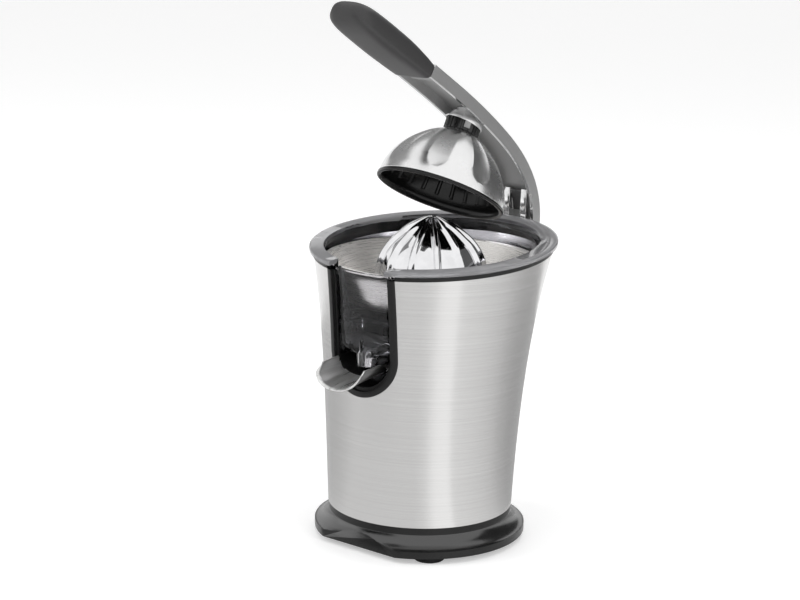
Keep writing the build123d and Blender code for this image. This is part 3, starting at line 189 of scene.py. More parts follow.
def addGrain(finish, stretch, colours, rough, bump=0.0):
    # noise on object coordinates, stretched per axis, drives colour, roughness and a fine bump
    tree = finish.node_tree
    shader = tree.nodes["Principled BSDF"]
    where = tree.nodes.new("ShaderNodeTexCoord")
    mapping = tree.nodes.new("ShaderNodeMapping")
    mapping.inputs["Scale"].default_value = stretch
    noise = tree.nodes.new("ShaderNodeTexNoise")
    noise.inputs["Scale"].default_value = 1.0
    noise.inputs["Detail"].default_value = grain["detail"]
    tree.links.new(where.outputs["Object"], mapping.inputs["Vector"])
    tree.links.new(mapping.outputs["Vector"], noise.inputs["Vector"])
    ramp = tree.nodes.new("ShaderNodeValToRGB")
    for stop, place, colour in zip(ramp.color_ramp.elements, (grain["low"], grain["high"]), colours):
        stop.position = place
        stop.color = (*colour, 1)
    tree.links.new(noise.outputs["Fac"], ramp.inputs["Fac"])
    tree.links.new(ramp.outputs["Color"], shader.inputs["Base Color"])
    spread = tree.nodes.new("ShaderNodeMapRange")
    limits = (grain["low"], grain["high"], *rough)
    for socket, value in zip(("From Min", "From Max", "To Min", "To Max"), limits):
        spread.inputs[socket].default_value = value
    tree.links.new(noise.outputs["Fac"], spread.inputs["Value"])
    tree.links.new(spread.outputs["Result"], shader.inputs["Roughness"])
    if bump:
        relief = tree.nodes.new("ShaderNodeBump")
        relief.inputs["Strength"].default_value = bump
        relief.inputs["Distance"].default_value = grain["relief"]
        tree.links.new(noise.outputs["Fac"], relief.inputs["Height"])
        tree.links.new(relief.outputs["Normal"], shader.inputs["Normal"])
    return finish


brushedSteel = addGrain(newFinish("brushed steel", (0.6, 0.6, 0.59), 1.0, 0.2),
                        (7, 7, 5200), ((0.575, 0.57, 0.565), (0.625, 0.62, 0.615)), (0.17, 0.25), 0.025)
strainerSteel = addGrain(newFinish("strainer steel", (0.6, 0.58, 0.55), 1.0, 0.3),
                         (40, 40, 3200), ((0.54, 0.525, 0.505), (0.66, 0.645, 0.62)), (0.24, 0.34), 0.04)
# a lighter, less metallic copy of the strainer steel for the faces that face up or inwards: painted light
# inside the strainer
litStrainerSteel = addGrain(newFinish("strainer steel painted light", (0.90, 0.88, 0.85), 0.55, 0.3),
                     (40, 40, 3200), ((0.84, 0.82, 0.79), (0.95, 0.93, 0.90)), (0.24, 0.34), 0.04)
spoutSteel = addGrain(newFinish("spout steel", (0.84, 0.84, 0.83), 0.9, 0.3),
                      (200, 3, 200), ((0.66, 0.66, 0.65), (0.90, 0.90, 0.89)), (0.27, 0.33), 0.0)
# a darker copy of the spout steel for the outside of the trough: painted shade
shadedSpoutSteel = addGrain(newFinish("spout steel painted shade", (0.2, 0.2, 0.2), 1.0, 0.3),
                     (260, 6, 260), ((0.17, 0.17, 0.17), (0.24, 0.24, 0.24)), (0.27, 0.33), 0.0)
polishedChrome = addGrain(newFinish("polished chrome", (0.86, 0.86, 0.86), 1.0, 0.26),
                          (60, 60, 60), ((0.83, 0.83, 0.83), (0.89, 0.89, 0.89)), (0.24, 0.28), 0.0)
reamerChrome = addGrain(newFinish("reamer chrome", (0.84, 0.84, 0.85), 1.0, 0.07),
                        (120, 120, 120), ((0.8, 0.8, 0.81), (0.87, 0.87, 0.88)), (0.05, 0.1), 0.0)
satinAlloy = addGrain(newFinish("satin alloy", (0.46, 0.46, 0.46), 0.62, 0.42),
                      (2400, 2400, 2400), ((0.43, 0.43, 0.43), (0.49, 0.49, 0.49)), (0.36, 0.46), 0.06)
# a darker copy of the alloy for the faces between the hinge ears: painted shade
shadedEarAlloy = addGrain(newFinish("ear alloy painted shade", (0.12, 0.12, 0.12), 1.0, 0.4),
                     (2400, 2400, 2400), ((0.10, 0.10, 0.10), (0.14, 0.14, 0.14)), (0.36, 0.46), 0.06)
# polished alloy for the hinge ears and bars; on the lever arm's channel edges it is partly a polished edge
# and partly a painted highlight line
brightAlloy = addGrain(newFinish("bright alloy", (0.78, 0.78, 0.79), 1.0, 0.12),
                       (300, 300, 300), ((0.76, 0.76, 0.76), (0.84, 0.84, 0.84)), (0.08, 0.15), 0.02)
bossAlloy = addGrain(newFinish("boss alloy", (0.9, 0.9, 0.9), 0.5, 0.22),
                     (300, 300, 300), ((0.86, 0.86, 0.86), (0.93, 0.93, 0.93)), (0.19, 0.25), 0.02)
glossBlack = addGrain(newFinish("gloss black", (0.004, 0.004, 0.004), 0.0, 0.22, IOR=1.95),
                      (80, 80, 80), ((0.003, 0.003, 0.003), (0.005, 0.005, 0.005)), (0.19, 0.25), 0.0)
ringBlack = addGrain(newFinish("ring black", (0.018, 0.018, 0.018), 0.0, 0.2),
                     (80, 80, 80), ((0.015, 0.015, 0.015), (0.021, 0.021, 0.021)), (0.13, 0.19), 0.0)
satinBlack = addGrain(newFinish("satin black", (0.010, 0.010, 0.010), 0.0, 0.3,
                                **{"Specular IOR Level": 0.3}),
                      (1500, 1500, 1500), ((0.008, 0.008, 0.008), (0.013, 0.013, 0.013)), (0.27, 0.36), 0.04)
innerBlack = addGrain(newFinish("inner black", (0.006, 0.006, 0.006), 0.0, 0.2,
                                **{"Specular IOR Level": 0.35}),
                      (900, 900, 900), ((0.004, 0.004, 0.004), (0.008, 0.008, 0.008)), (0.17, 0.24), 0.02)
moulded = addGrain(newFinish("moulded black", (0.012, 0.012, 0.012), 0.0, 0.45,
                             **{"Specular IOR Level": 0.25}),
                   (1800, 1800, 1800), ((0.009, 0.009, 0.009), (0.015, 0.015, 0.015)), (0.4, 0.5), 0.08)
footRubber = addGrain(newFinish("foot rubber", (0.012, 0.012, 0.012), 0.0, 0.7,
                                **{"Specular IOR Level": 0.2}),
                      (1600, 1600, 1600), ((0.009, 0.009, 0.009), (0.015, 0.015, 0.015)), (0.62, 0.76), 0.1)
gripPlastic = addGrain(newFinish("grip plastic", (0.05, 0.05, 0.05), 0.0, 0.4,
                                 **{"Specular IOR Level": 0.4}),
                       (2200, 2200, 2200), ((0.042, 0.041, 0.042), (0.056, 0.055, 0.056)), (0.36, 0.46), 0.08)
paleMark = addGrain(newFinish("pale mark", (0.36, 0.36, 0.36), 0.0, 0.4),
                    (900, 900, 900), ((0.33, 0.33, 0.33), (0.40, 0.40, 0.40)), (0.36, 0.45), 0.03)
plainSteel = addGrain(newFinish("plain steel", (0.5, 0.5, 0.5), 1.0, 0.35),
                      (300, 300, 1500), ((0.44, 0.44, 0.44), (0.56, 0.56, 0.56)), (0.28, 0.42), 0.05)
sinteredBronze = addGrain(newFinish("sintered bronze", (0.5, 0.33, 0.16), 1.0, 0.45),
                          (1500, 1500, 1500), ((0.42, 0.27, 0.13), (0.56, 0.38, 0.2)), (0.4, 0.52), 0.1)
gearNylon = addGrain(newFinish("gear nylon", (0.75, 0.73, 0.68), 0.0, 0.42),
                     (500, 500, 500), ((0.7, 0.68, 0.63), (0.79, 0.77, 0.72)), (0.38, 0.48), 0.05)
windings = addGrain(newFinish("motor core", (0.28, 0.15, 0.08), 1.0, 0.42),
                    (80, 80, 1600), ((0.16, 0.09, 0.05), (0.42, 0.22, 0.11)), (0.34, 0.5), 0.15)
motorPaint = addGrain(newFinish("motor paint", (0.1, 0.1, 0.11), 0.0, 0.4),
                      (900, 900, 900), ((0.085, 0.085, 0.095), (0.12, 0.12, 0.13)), (0.36, 0.46), 0.08)
clearPlastic = addGrain(newFinish("clear plastic", (0.93, 0.93, 0.95), 0.0, 0.02,
                                  **{"Transmission Weight": 1.0, "IOR": 1.25}),
                        (40, 40, 40), ((0.84, 0.84, 0.87), (0.90, 0.90, 0.93)), (0.012, 0.035), 0.0)
smokyLip = addGrain(newFinish("smoky lip", (0.35, 0.35, 0.36), 0.0, 0.07,
                              **{"Transmission Weight": 0.35, "IOR": 1.55}),
                    (30, 30, 30), ((0.33, 0.33, 0.34), (0.39, 0.39, 0.40)), (0.06, 0.08), 0.0)
wateryClear = addGrain(newFinish("watery clear", (0.93, 0.93, 0.95), 0.0, 0.03,
                                 **{"Transmission Weight": 1.0, "IOR": 1.5}),
                       (90, 90, 90), ((0.90, 0.90, 0.92), (0.96, 0.96, 0.98)), (0.02, 0.05), 0.25)

nodeFinishes = {
    "base_skirt": glossBlack, "base_cover": moulded, "rubber_feet": footRubber, "base_screws": plainSteel,
    "cord_gland": moulded, "body_shell": brushedSteel, "rim_ring": satinBlack, "slot_trim": satinBlack,
    "slot_pocket": innerBlack, "bowl_seat": moulded, "tie_rods": plainSteel, "gearbox_housing": moulded,
    "gearbox_cover": moulded, "gearbox_spacers": plainSteel, "gearbox_screws": plainSteel,
    "spindle_bushes": sinteredBronze, "output_gear": gearNylon, "drive_spindle": plainSteel,
    "idler_gear": gearNylon, "idler_pin": plainSteel, "motor_pinion": sinteredBronze,
    "motor_shaft": plainSteel, "motor_rotor": windings, "motor_fan": gearNylon, "motor_can": motorPaint,
    "motor_screws": plainSteel, "switch_bracket": plainSteel, "start_switch": moulded,
    "switch_plunger": gearNylon, "juice_bowl": clearPlastic, "strainer": strainerSteel,
    "reamer_cone": reamerChrome, "reamer_hub": moulded, "push_rod": plainSteel, "pour_spout": spoutSteel,
    "hinge_bracket": satinAlloy, "bracket_screws": plainSteel, "hinge_pin": plainSteel,
    "lever_arm": satinAlloy, "hinge_ears": brightAlloy, "grip": gripPlastic,
    "press_cup": polishedChrome, "cup_liner": innerBlack, "cup_lock_ring": ringBlack,
    "cup_boss": bossAlloy, "cup_nut": moulded,
}
for node, finish in nodeFinishes.items():
    for place in frame["nodes"][node].material_slots:
        place.material = finish
print("finishes ready:", len(bpy.data.materials))


# pieces

bodyOf = {node: body for body, nodes in frame["record"]["behaviour"]["bodies"].items() for node in nodes}

cup = {
    "mouth": (0, 8.8, 257.4), "tilt": -28.5,
    "outline": [(48.2, 0), (47.1, 8), (43.2, 18.5), (35.8, 29.2), (24.4, 39.6), (13, 46.4)],
    "neck": (8.6, 46.5), "wall": 0.8, "turns": 288,
    "flutes": 8, "firstFlute": 296, "fluteHalf": 11.0, "fluteDepth": 1.2, "fluteTip": 6.0, "fluteFull": 16.0,
    "fluteTop": 46.3, "fadeFrom": 13, "fadeOver": 10,
}
cupAxis = Matrix.Translation(cup["mouth"]) @ Matrix.Rotation(math.radians(cup["tilt"]), 4, "X")
cupLine = smoothLine(cup["outline"], 9)
shape = turnedShape(cupLine + [cup["neck"]], cup["turns"])
shape.normal_update()
moves = []
for vertex in shape.verts:
    rise = min(max((cup["fluteFull"] - vertex.co.z) / (cup["fluteFull"] - cup["fluteTip"]), 0), 1)
    half = cup["fluteHalf"] * math.sqrt(1 - rise * rise)
    turn = turnsFrom(vertex, cup["firstFlute"], cup["flutes"])
    if half > 0.2 and turn < half and vertex.co.z < cup["fluteTop"]:
        depth = cup["fluteDepth"] * (half / cup["fluteHalf"]) * (1 - (turn / half) ** 2)
        fade = easeStep((Vector(vertex.co.xy).length - cup["fadeFrom"]) / cup["fadeOver"])
        moves.append((vertex, depth * fade))
for vertex, depth in moves:
    vertex.co -= vertex.normal * depth
piece = placePiece("cup_skin", shape, nodeFinishes["press_cup"], "lever", ("press_cup",), place=cupAxis,
                   smooth=14)
thicken(piece, cup["wall"])

liner = {
    "gap": 2.2, "depth": 3.4, "outerFrom": 0.6, "innerFrom": 2.0, "turns": 240,
    "neck": [(8.6, 45.1), (8.6, 43.2)],
    "rim": [(44.6, 0.8), (45.7, -2.0), (46.2, -2.55), (46.9, -2.8), (48.0, -2.8), (48.55, -2.55),
            (48.8, -2.0), (48.8, -0.7), (48.62, -0.3), (48.2, -0.1), (46.9, -0.1)],
    "ribs": 24, "firstRib": 11, "ribHalf": 1.6, "ribHeight": 1.1, "ribFrom": 7, "ribTo": 36, "reach": 0.3,
}
outer = [point for point in insetLine(cupLine, liner["gap"]) if point[1] > liner["outerFrom"]]
innerLine = insetLine(cupLine, liner["depth"])
inner = [point for point in innerLine if point[1] > liner["innerFrom"]][::-1]
line = outer + liner["neck"] + inner + liner["rim"]
shape = turnedShape(line + [line[0]], liner["turns"])
innerRadii = [(height, radius) for radius, height in innerLine]
for vertex in shape.verts:
    radius = Vector(vertex.co.xy).length
    onInside = radius < alongLine(innerRadii, vertex.co.z) + liner["reach"]
    onRib = turnsFrom(vertex, liner["firstRib"], liner["ribs"]) < liner["ribHalf"]
    if liner["ribFrom"] < vertex.co.z < liner["ribTo"] and onInside and onRib:
        vertex.co.xy *= 1 - liner["ribHeight"] / radius
placePiece("liner_skin", shape, nodeFinishes["cup_liner"], "lever", ("cup_liner",), place=cupAxis, smooth=30)

lockRing = {
    "line": [(8.3, 46.7), (13.2, 46.7), (13.6, 47.2), (13.6, 48.1), (13.6, 54.6), (13.6, 55.5), (13.1, 56.0),
             (8.3, 56.0), (8.3, 46.7)],
    "turns": 240, "grooves": 20, "grooveHalf": 3.2, "grooveDepth": 0.8, "grooveFrom": 12,
}
shape = turnedShape(lockRing["line"], lockRing["turns"])
for vertex in shape.verts:
    radius = Vector(vertex.co.xy).length
    if radius > lockRing["grooveFrom"] and turnsFrom(vertex, 0, lockRing["grooves"]) < lockRing["grooveHalf"]:
        vertex.co.xy *= 1 - lockRing["grooveDepth"] / radius
placePiece("lock_ring_skin", shape, nodeFinishes["cup_lock_ring"], bodyOf["cup_lock_ring"],
           ("cup_lock_ring",), place=cupAxis, smooth=25)
pad = {"size": (1.2, 4.6, 5.0), "edge": 0.35, "place": (13.5, 0, 51.35), "bearing": 321}
shape = softBox(pad["size"], pad["edge"])
bmesh.ops.translate(shape, vec=pad["place"], verts=shape.verts)
bmesh.ops.rotate(shape, cent=(0, 0, 0), matrix=Matrix.Rotation(math.radians(pad["bearing"]), 3, "Z"),
                 verts=shape.verts)
placePiece("ring_pad", shape, paleMark, bodyOf["cup_lock_ring"], place=cupAxis)

boss = {
    "line": [(4.3, 47), (8.1, 47), (8.1, 56.3), (13.9, 56.3), (14.0, 55.5), (14.4, 55.5), (14.5, 56.3),
             (14.1, 56.9), (12.2, 57.7), (10.2, 59.0), (9.0, 60.8), (8.5, 62.6), (8.4, 64.4), (4.3, 64.4),
             (4.3, 47)],
    "turns": 360, "ribs": 6, "firstRib": 300, "ribHalf": 0.45, "ribReach": 12.6, "ribLean": 0.3,
    "ribBase": 57, "ribFrom": 57.5, "ribInner": 9,
    "brim": 13.5, "drop": 3.2, "dropBearing": 39, "dropBase": 58, "dropOver": 2,
}
shape = turnedShape(boss["line"], boss["turns"])
for vertex in shape.verts:
    radius = Vector(vertex.co.xy).length
    aside = math.radians(turnsFrom(vertex, boss["firstRib"], boss["ribs"])) * radius
    if vertex.co.z > boss["ribFrom"] and radius > boss["ribInner"] and aside < boss["ribHalf"]:
        reach = boss["ribReach"] - boss["ribLean"] * (vertex.co.z - boss["ribBase"])
        vertex.co.xy *= max(1, reach / radius)
    elif radius > boss["brim"]:
        turn = math.atan2(vertex.co.y, vertex.co.x) - math.radians(boss["dropBearing"])
        share = easeStep((boss["dropBase"] - vertex.co.z) / boss["dropOver"])
        vertex.co.z -= boss["drop"] * (0.5 + 0.5 * math.cos(turn)) * share
placePiece("boss_skin", shape, nodeFinishes["cup_boss"], "lever", ("cup_boss",), place=cupAxis, smooth=30)

reamer = {
    "bottom": 187.0, "top": 240, "centre": 193.8, "core": 39.4, "slopes": range(4, 49, 3),
    "skirt": [(40.4, 187.0), (39.9, 190.6)], "crown": [(17.4, 230.4), (8.2, 235.2), (2.4, 237.3)],
    "point": (0, 237.9), "lift": 3.05, "turns": 480, "ribs": 12, "firstRib": 15,
    "crest": 0.6, "crestShare": 0.1, "foot": 3.3, "footShare": 0.46, "wall": 1.4,
}
slope = []
for rise in reamer["slopes"]:
    turn = math.radians(rise)
    slope.append((reamer["core"] * math.cos(turn), reamer["centre"] + reamer["core"] * math.sin(turn)))
crown = smoothLine([slope[-1]] + reamer["crown"], 6)[1:]
shape = turnedShape(reamer["skirt"] + slope + crown + [reamer["point"]], reamer["turns"])
shape.normal_update()
moves = []
for vertex in shape.verts:
    radius = Vector(vertex.co.xy).length
    spacing = 2 * math.pi * radius / reamer["ribs"]
    aside = math.radians(turnsFrom(vertex, reamer["firstRib"], reamer["ribs"])) * radius
    crest = min(reamer["crest"], reamer["crestShare"] * spacing)
    foot = min(reamer["foot"], reamer["footShare"] * spacing)
    if radius > 0.5 and aside < foot:
        moves.append((vertex, reamer["lift"] * (1 - easeStep((aside - crest) / (foot - crest)))))
for vertex, lift in moves:
    vertex.co += vertex.normal * lift
    vertex.co.z = min(max(vertex.co.z, reamer["bottom"]), reamer["top"])
piece = placePiece("reamer_skin", shape, nodeFinishes["reamer_cone"], "reamer", ("reamer_cone",), smooth=40)
thicken(piece, reamer["wall"])

skin = {"foot": 23.9, "height": 206, "radius": (69.2, 9.6, 12.8), "centre": (-7.5, 9.8)}


def skinPoint(x, z):
    # how far forward the body's tapering surface is at this place
    t = (z - skin["foot"]) / skin["height"]
    radius = skin["radius"][0] + skin["radius"][1] * t + skin["radius"][2] * t ** 3
    return skin["centre"][0] + skin["centre"][1] * t * t - math.sqrt(radius * radius - x * x)


trim = {  # the profile holds how far out from the slot's middle and how deep under the skin
    "arcHeight": 149.5, "top": 208.4, "along": 96,
    "profile": [(31.1, 1.0), (31.1, -0.5), (30.8, -0.8), (30.3, -0.85), (27.2, -0.85), (26.7, -0.7),
                (26.5, -0.3), (26.5, 1.5), (26.35, 1.8), (26.1, 1.9), (24.5, 1.9), (24.15, 2.05), (24.0, 2.4),
                (24.0, 3.6), (31.1, 3.6), (31.1, 1.0)],
}


def trimPlace(u, v):
    # down one side, round the slot's foot and up the other side
    out, depth = trim["profile"][round(u * (len(trim["profile"]) - 1))]
    if v < 0.25 or v > 0.75:
        x = -out if v < 0.25 else out
        z = trim["arcHeight"] + (trim["top"] - trim["arcHeight"]) * abs(abs(v - 0.5) - 0.25) / 0.25
    else:
        turn = math.pi * (v - 0.25) / 0.5
        x, z = -out * math.cos(turn), trim["arcHeight"] - out * math.sin(turn)
    return x, skinPoint(x, z) + depth, z


shape = gridShape(len(trim["profile"]) - 1, trim["along"], trimPlace)
placePiece("trim_skin", shape, nodeFinishes["slot_trim"], bodyOf["slot_trim"], ("slot_trim",), smooth=35)

spout = {
    "half": 18.9, "root": -63.0, "steelFrom": -81.0, "edge": -98.0, "reach": 8.0, "flare": 3.9, "curl": 1.9,
    "wall": 1.1, "top": 147.2, "fall": 0.07, "rootDepth": 10.0, "deepen": 0.075, "grid": (56, 40),
    "reachRound": 0.7, "troughRound": 0.86, "lipFrom": 0.72, "leastLip": 0.12, "lipGrow": 0.42,
}


def spoutPlace(u, v):
    turn = math.pi * u
    side, sink = math.cos(turn), math.sin(turn)
    edge = spout["edge"] - spout["reach"] * max(sink, 0) ** spout["reachRound"]
    run = min(v / spout["lipFrom"], 1)
    y = spout["root"] + (edge - spout["root"]) * run
    gone = spout["root"] - y
    depth = spout["rootDepth"] + spout["deepen"] * gone
    x = spout["half"] * math.copysign(abs(side) ** spout["troughRound"], side)
    z = spout["top"] - spout["fall"] * gone - depth * max(sink, 0) ** spout["troughRound"]
    if v > spout["lipFrom"]:
        roll = (v - spout["lipFrom"]) / (1 - spout["lipFrom"]) * math.pi / 2
        full = spout["leastLip"] + (1 - spout["leastLip"]) * easeStep(sink / spout["lipGrow"])
        y -= spout["flare"] * full * math.sin(roll)
        out = spout["curl"] * full * (1 - math.cos(roll))
        x += out * side
        z -= out * sink
    return x, y, z


shape = gridShape(*spout["grid"], spoutPlace)
for face in shape.faces:
    face.material_index = int(face.calc_center_median().y > spout["steelFrom"])
shape.faces.ensure_lookup_table()
bottomFace = min(shape.faces, key=lambda face: face.calc_center_median().z)
if bottomFace.normal.z < 0:
    bmesh.ops.reverse_faces(shape, faces=shape.faces)
piece = placePiece("spout_skin", shape, nodeFinishes["pour_spout"], bodyOf["pour_spout"], ("pour_spout",),
                   smooth=50)
piece.data.materials.append(nodeFinishes["slot_pocket"])
piece.data.materials.append(shadedSpoutSteel)
thicken(piece, spout["wall"]).material_offset = 2  # the outside of the trough gets a darker copy of the spout steel, a painted shade

spoutPin = {"radius": 2.4, "depth": 3.4, "aside": 20.6, "place": (-72, 143)}
for side in (-1, 1):
    shape = bmesh.new()
    bmesh.ops.create_cone(shape, cap_ends=True, segments=32, radius1=spoutPin["radius"],
                          radius2=spoutPin["radius"], depth=spoutPin["depth"])
    bmesh.ops.rotate(shape, cent=(0, 0, 0), matrix=Matrix.Rotation(math.pi / 2, 3, "Y"), verts=shape.verts)
    bmesh.ops.translate(shape, vec=(side * spoutPin["aside"], *spoutPin["place"]), verts=shape.verts)
    placePiece("spout_pin", shape, nodeFinishes["slot_pocket"], bodyOf["pour_spout"])

grip = {
    "start": (-22.3, 353.9), "angle": 32.0, "length": 93.2,
    "grid": (72, 90), "endShare": 0.04, "crowding": 1.6,
    "top": [(-1, -0.2), (12, -2.9), (28, -4.8), (44, -5.4), (62, -4.9), (78, -3.6), (88, -1.2), (92, 2.0),
            (93.2, 5.2)],
    "bottom": [(-1, 10.9), (12, 12.1), (36, 13.8), (60, 14.6), (74, 14.6), (84, 13.4), (90, 10.6),
               (93.2, 5.6)],
    "half": [(-1, 17.1), (30, 17.3), (60, 17.2), (72, 17.1), (80, 16.5), (86, 14.8), (90, 11.8), (92.4, 7.4),
             (93.2, 0.0)],
    "square": [(0, 0.16), (15, 0.34), (45, 0.58), (94, 0.66)],
    "widest": 0.60, "topRound": 0.12, "sideRound": 0.30, "bottomRound": 0.34, "tuck": 0.07,
}
gripTop = smoothLine(grip["top"], 8)
gripBottom = smoothLine(grip["bottom"], 8)
gripHalf = smoothLine(grip["half"], 8)


def gripPlace(u, v):
    # lengthwise from the arm to the tip, and the first rows close the end that meets the arm
    share = max(v - grip["endShare"], 0) / (1 - grip["endShare"])
    run = grip["length"] * (1 - (1 - share) ** grip["crowding"])
    shrink = min(v / grip["endShare"], 1)
    top, bottom, half = (alongLine(line, run) for line in (gripTop, gripBottom, gripHalf))
    turn = 2 * math.pi * u
    side, rise = math.cos(turn), math.sin(turn)
    square = alongLine(grip["square"], run)
    middle = top + (bottom - top) * grip["widest"]
    if rise >= 0:
        across = half * math.copysign(abs(side) ** square, side)
        down = middle + (top - middle) * abs(rise) ** (square + grip["topRound"])
    else:
        across = half * math.copysign(abs(side) ** grip["sideRound"], side) * (1 - grip["tuck"] * abs(rise))
        down = middle + (bottom - middle) * abs(rise) ** grip["bottomRound"]
    across *= shrink
    down = middle + (down - middle) * shrink
    angle = math.radians(grip["angle"])
    return (across, grip["start"][0] - run * math.cos(angle) - down * math.sin(angle),
            grip["start"][1] + run * math.sin(angle) - down * math.cos(angle))


shape = gridShape(*grip["grid"], gripPlace)
placePiece("grip_skin", shape, nodeFinishes["grip"], "lever", ("grip",), smooth=50)

rimCentre = 2.2  # how far back the rim's middle is
bowl = {"lipFrom": 218.0, "rimLean": 0.0782, "chuteFrom": -60, "nozzleTop": 151.5}
shape = nodeShape("juice_bowl")
for face in shape.faces:
    corners = [vertex.co for vertex in face.verts]
    onChute = max(corner.y for corner in corners) < bowl["chuteFrom"]
    if min(corner.z - bowl["rimLean"] * (corner.y - rimCentre) for corner in corners) > bowl["lipFrom"]:
        face.material_index = 1
    elif onChute and face.calc_center_median().z < bowl["nozzleTop"]:
        face.material_index = 2
piece = placePiece("bowl_skin", shape, nodeFinishes["juice_bowl"], bodyOf["juice_bowl"], ("juice_bowl",),
                   smooth=30)
piece.data.materials.append(smokyLip)
piece.data.materials.append(wateryClear)

secondFinish = {"base_skirt": satinBlack, "lever_arm": brightAlloy, "hinge_ears": shadedEarAlloy,
                "strainer": litStrainerSteel}
secondFaces = {
    "bandTop": 9.35, "neckFrom": 18.3,  # base: the band above the floor and the neck
    "floorFacing": 0.4, "wallInward": 5,  # strainer: what faces up or inwards, which gets the painted-light copy of its steel
    "earInner": 5.4,  # hinge ears: the faces between them, which get the painted-shade copy of the alloy
    "edgeFrom": 14.4, "edgeTo": 16.99, "edgeFacing": 0.3,  # lever arm: the edges of its channel, which get the bright alloy, partly a polished edge and partly a painted highlight line
}
softCopies = {  # sharpest angle kept smooth, width of the soft edge
    "base_skirt": (30, 0.5), "body_shell": (30, 0), "rim_ring": (30, 0.4), "slot_pocket": (30, 0),
    "strainer": (30, 0), "hinge_bracket": (30, 0.4), "lever_arm": (30, 0.35), "hinge_ears": (30, 0.4),
    "hinge_pin": (30, 0), "rubber_feet": (30, 0.5),
}


def hasSecondFinish(node, centre, facing):
    if node == "base_skirt":
        return centre.z < secondFaces["bandTop"] or centre.z > secondFaces["neckFrom"]
    if node == "strainer":
        inward = -facing.x * centre.x - facing.y * (centre.y - rimCentre)
        return facing.z > secondFaces["floorFacing"] or inward > secondFaces["wallInward"]
    if node == "hinge_ears":
        return abs(centre.x) < secondFaces["earInner"]
    onEdge = secondFaces["edgeFrom"] < abs(centre.x) < secondFaces["edgeTo"]
    return onEdge and abs(facing.x) < secondFaces["edgeFacing"] and facing.y + facing.z < 0


for node, (angle, width) in softCopies.items():
    shape = nodeShape(node)
    if node in secondFinish:
        for face in shape.faces:
            face.material_index = int(hasSecondFinish(node, face.calc_center_median(), face.normal))
    piece = placePiece(node + "_skin", shape, nodeFinishes[node], bodyOf[node], (node,), smooth=angle)
    if node in secondFinish:
        piece.data.materials.append(secondFinish[node])
    if width:
        softenEdges(piece, width)

bars = {"aside": 8.0, "width": 5.4, "deep": 2.4, "edge": 0.3, "foot": (103.6, 229.0), "head": (104.6, 248.4)}
barFoot, barHead = Vector((0, *bars["foot"])), Vector((0, *bars["head"]))
barRise = barHead - barFoot
for side in (-1, 1):
    shape = softBox((bars["width"], bars["deep"], barRise.length), bars["edge"])
    bmesh.ops.rotate(shape, cent=(0, 0, 0), matrix=Vector((0, 0, 1)).rotation_difference(barRise).to_matrix(),
                     verts=shape.verts)
    bmesh.ops.translate(shape, vec=(barFoot + barHead) / 2 + Vector((side * bars["aside"], 0, 0)),
                        verts=shape.verts)
    placePiece("ear_bar", shape, brightAlloy, "lever")


# floor, light and camera

floor = {"radius": 9.0, "colour": 0.75, "rough": 0.6, "glow": 0.42}
floorShape = bmesh.new()
bmesh.ops.create_circle(floorShape, cap_ends=True, segments=96, radius=floor["radius"])
floorMesh = bpy.data.meshes.new("floor")
floorShape.to_mesh(floorMesh)
floorShape.free()
floorPiece = bpy.data.objects.new("floor", floorMesh)
bpy.context.scene.collection.objects.link(floorPiece)


def seenDirectly(tree):
    # 1 for rays from the camera, mirrors and glass
    path = tree.nodes.new("ShaderNodeLightPath")
    first = tree.nodes.new("ShaderNodeMath")
    first.operation = "MAXIMUM"
    second = tree.nodes.new("ShaderNodeMath")
    second.operation = "MAXIMUM"
    tree.links.new(path.outputs["Is Camera Ray"], first.inputs[0])
    tree.links.new(path.outputs["Is Glossy Ray"], first.inputs[1])
    tree.links.new(first.outputs[0], second.inputs[0])
    tree.links.new(path.outputs["Is Transmission Ray"], second.inputs[1])
    return second.outputs[0]


paleFloor = bpy.data.materials.new("pale floor")
paleFloor.use_nodes = True
tree = paleFloor.node_tree
base = tree.nodes["Principled BSDF"]
base.inputs["Base Color"].default_value = (floor["colour"],) * 3 + (1,)
base.inputs["Roughness"].default_value = floor["rough"]
glow = tree.nodes.new("ShaderNodeEmission")
strength = tree.nodes.new("ShaderNodeMath")
strength.operation = "MULTIPLY"
strength.inputs[1].default_value = floor["glow"]
both = tree.nodes.new("ShaderNodeAddShader")
tree.links.new(seenDirectly(tree), strength.inputs[0])
tree.links.new(strength.outputs[0], glow.inputs["Strength"])
tree.links.new(base.outputs[0], both.inputs[0])
tree.links.new(glow.outputs[0], both.inputs[1])
tree.links.new(both.outputs[0], tree.nodes["Material Output"].inputs["Surface"])
floorMesh.materials.append(paleFloor)

room = {"light": 0.55, "seen": 1.0}
world = bpy.data.worlds.new("pale room")
bpy.context.scene.world = world
world.use_nodes = True
tree = world.node_tree
sky = tree.nodes["Background"]
level = tree.nodes.new("ShaderNodeMapRange")
level.inputs["To Min"].default_value = room["light"]
level.inputs["To Max"].default_value = room["seen"]
tree.links.new(seenDirectly(tree), level.inputs["Value"])
tree.links.new(level.outputs["Result"], sky.inputs["Strength"])
sky.inputs["Color"].default_value = (1, 1, 1, 1)


softboxAim = Vector((0, 0, 0.2))
softboxes = {  # place, width, height and power
    "key": ((-1.6, -1.5, 1.6), 1.0, 1.4, 20),
    "fill": ((1.9, -0.3, 1.1), 0.7, 1.4, 9),
    "top": ((0.1, 0.2, 2.2), 1.4, 1.4, 15),
}
for name, (place, width, height, power) in softboxes.items():
    lamp = bpy.data.lights.new(name, "AREA")
    lamp.shape = "RECTANGLE"
    lamp.size = width
    lamp.size_y = height
    lamp.energy = power
    box = bpy.data.objects.new(name, lamp)
    box.location = place
    box.rotation_mode = "QUATERNION"
    box.rotation_quaternion = (softboxAim - Vector(place)).to_track_quat("-Z", "Y")
    box.visible_glossy = False
    bpy.context.scene.collection.objects.link(box)


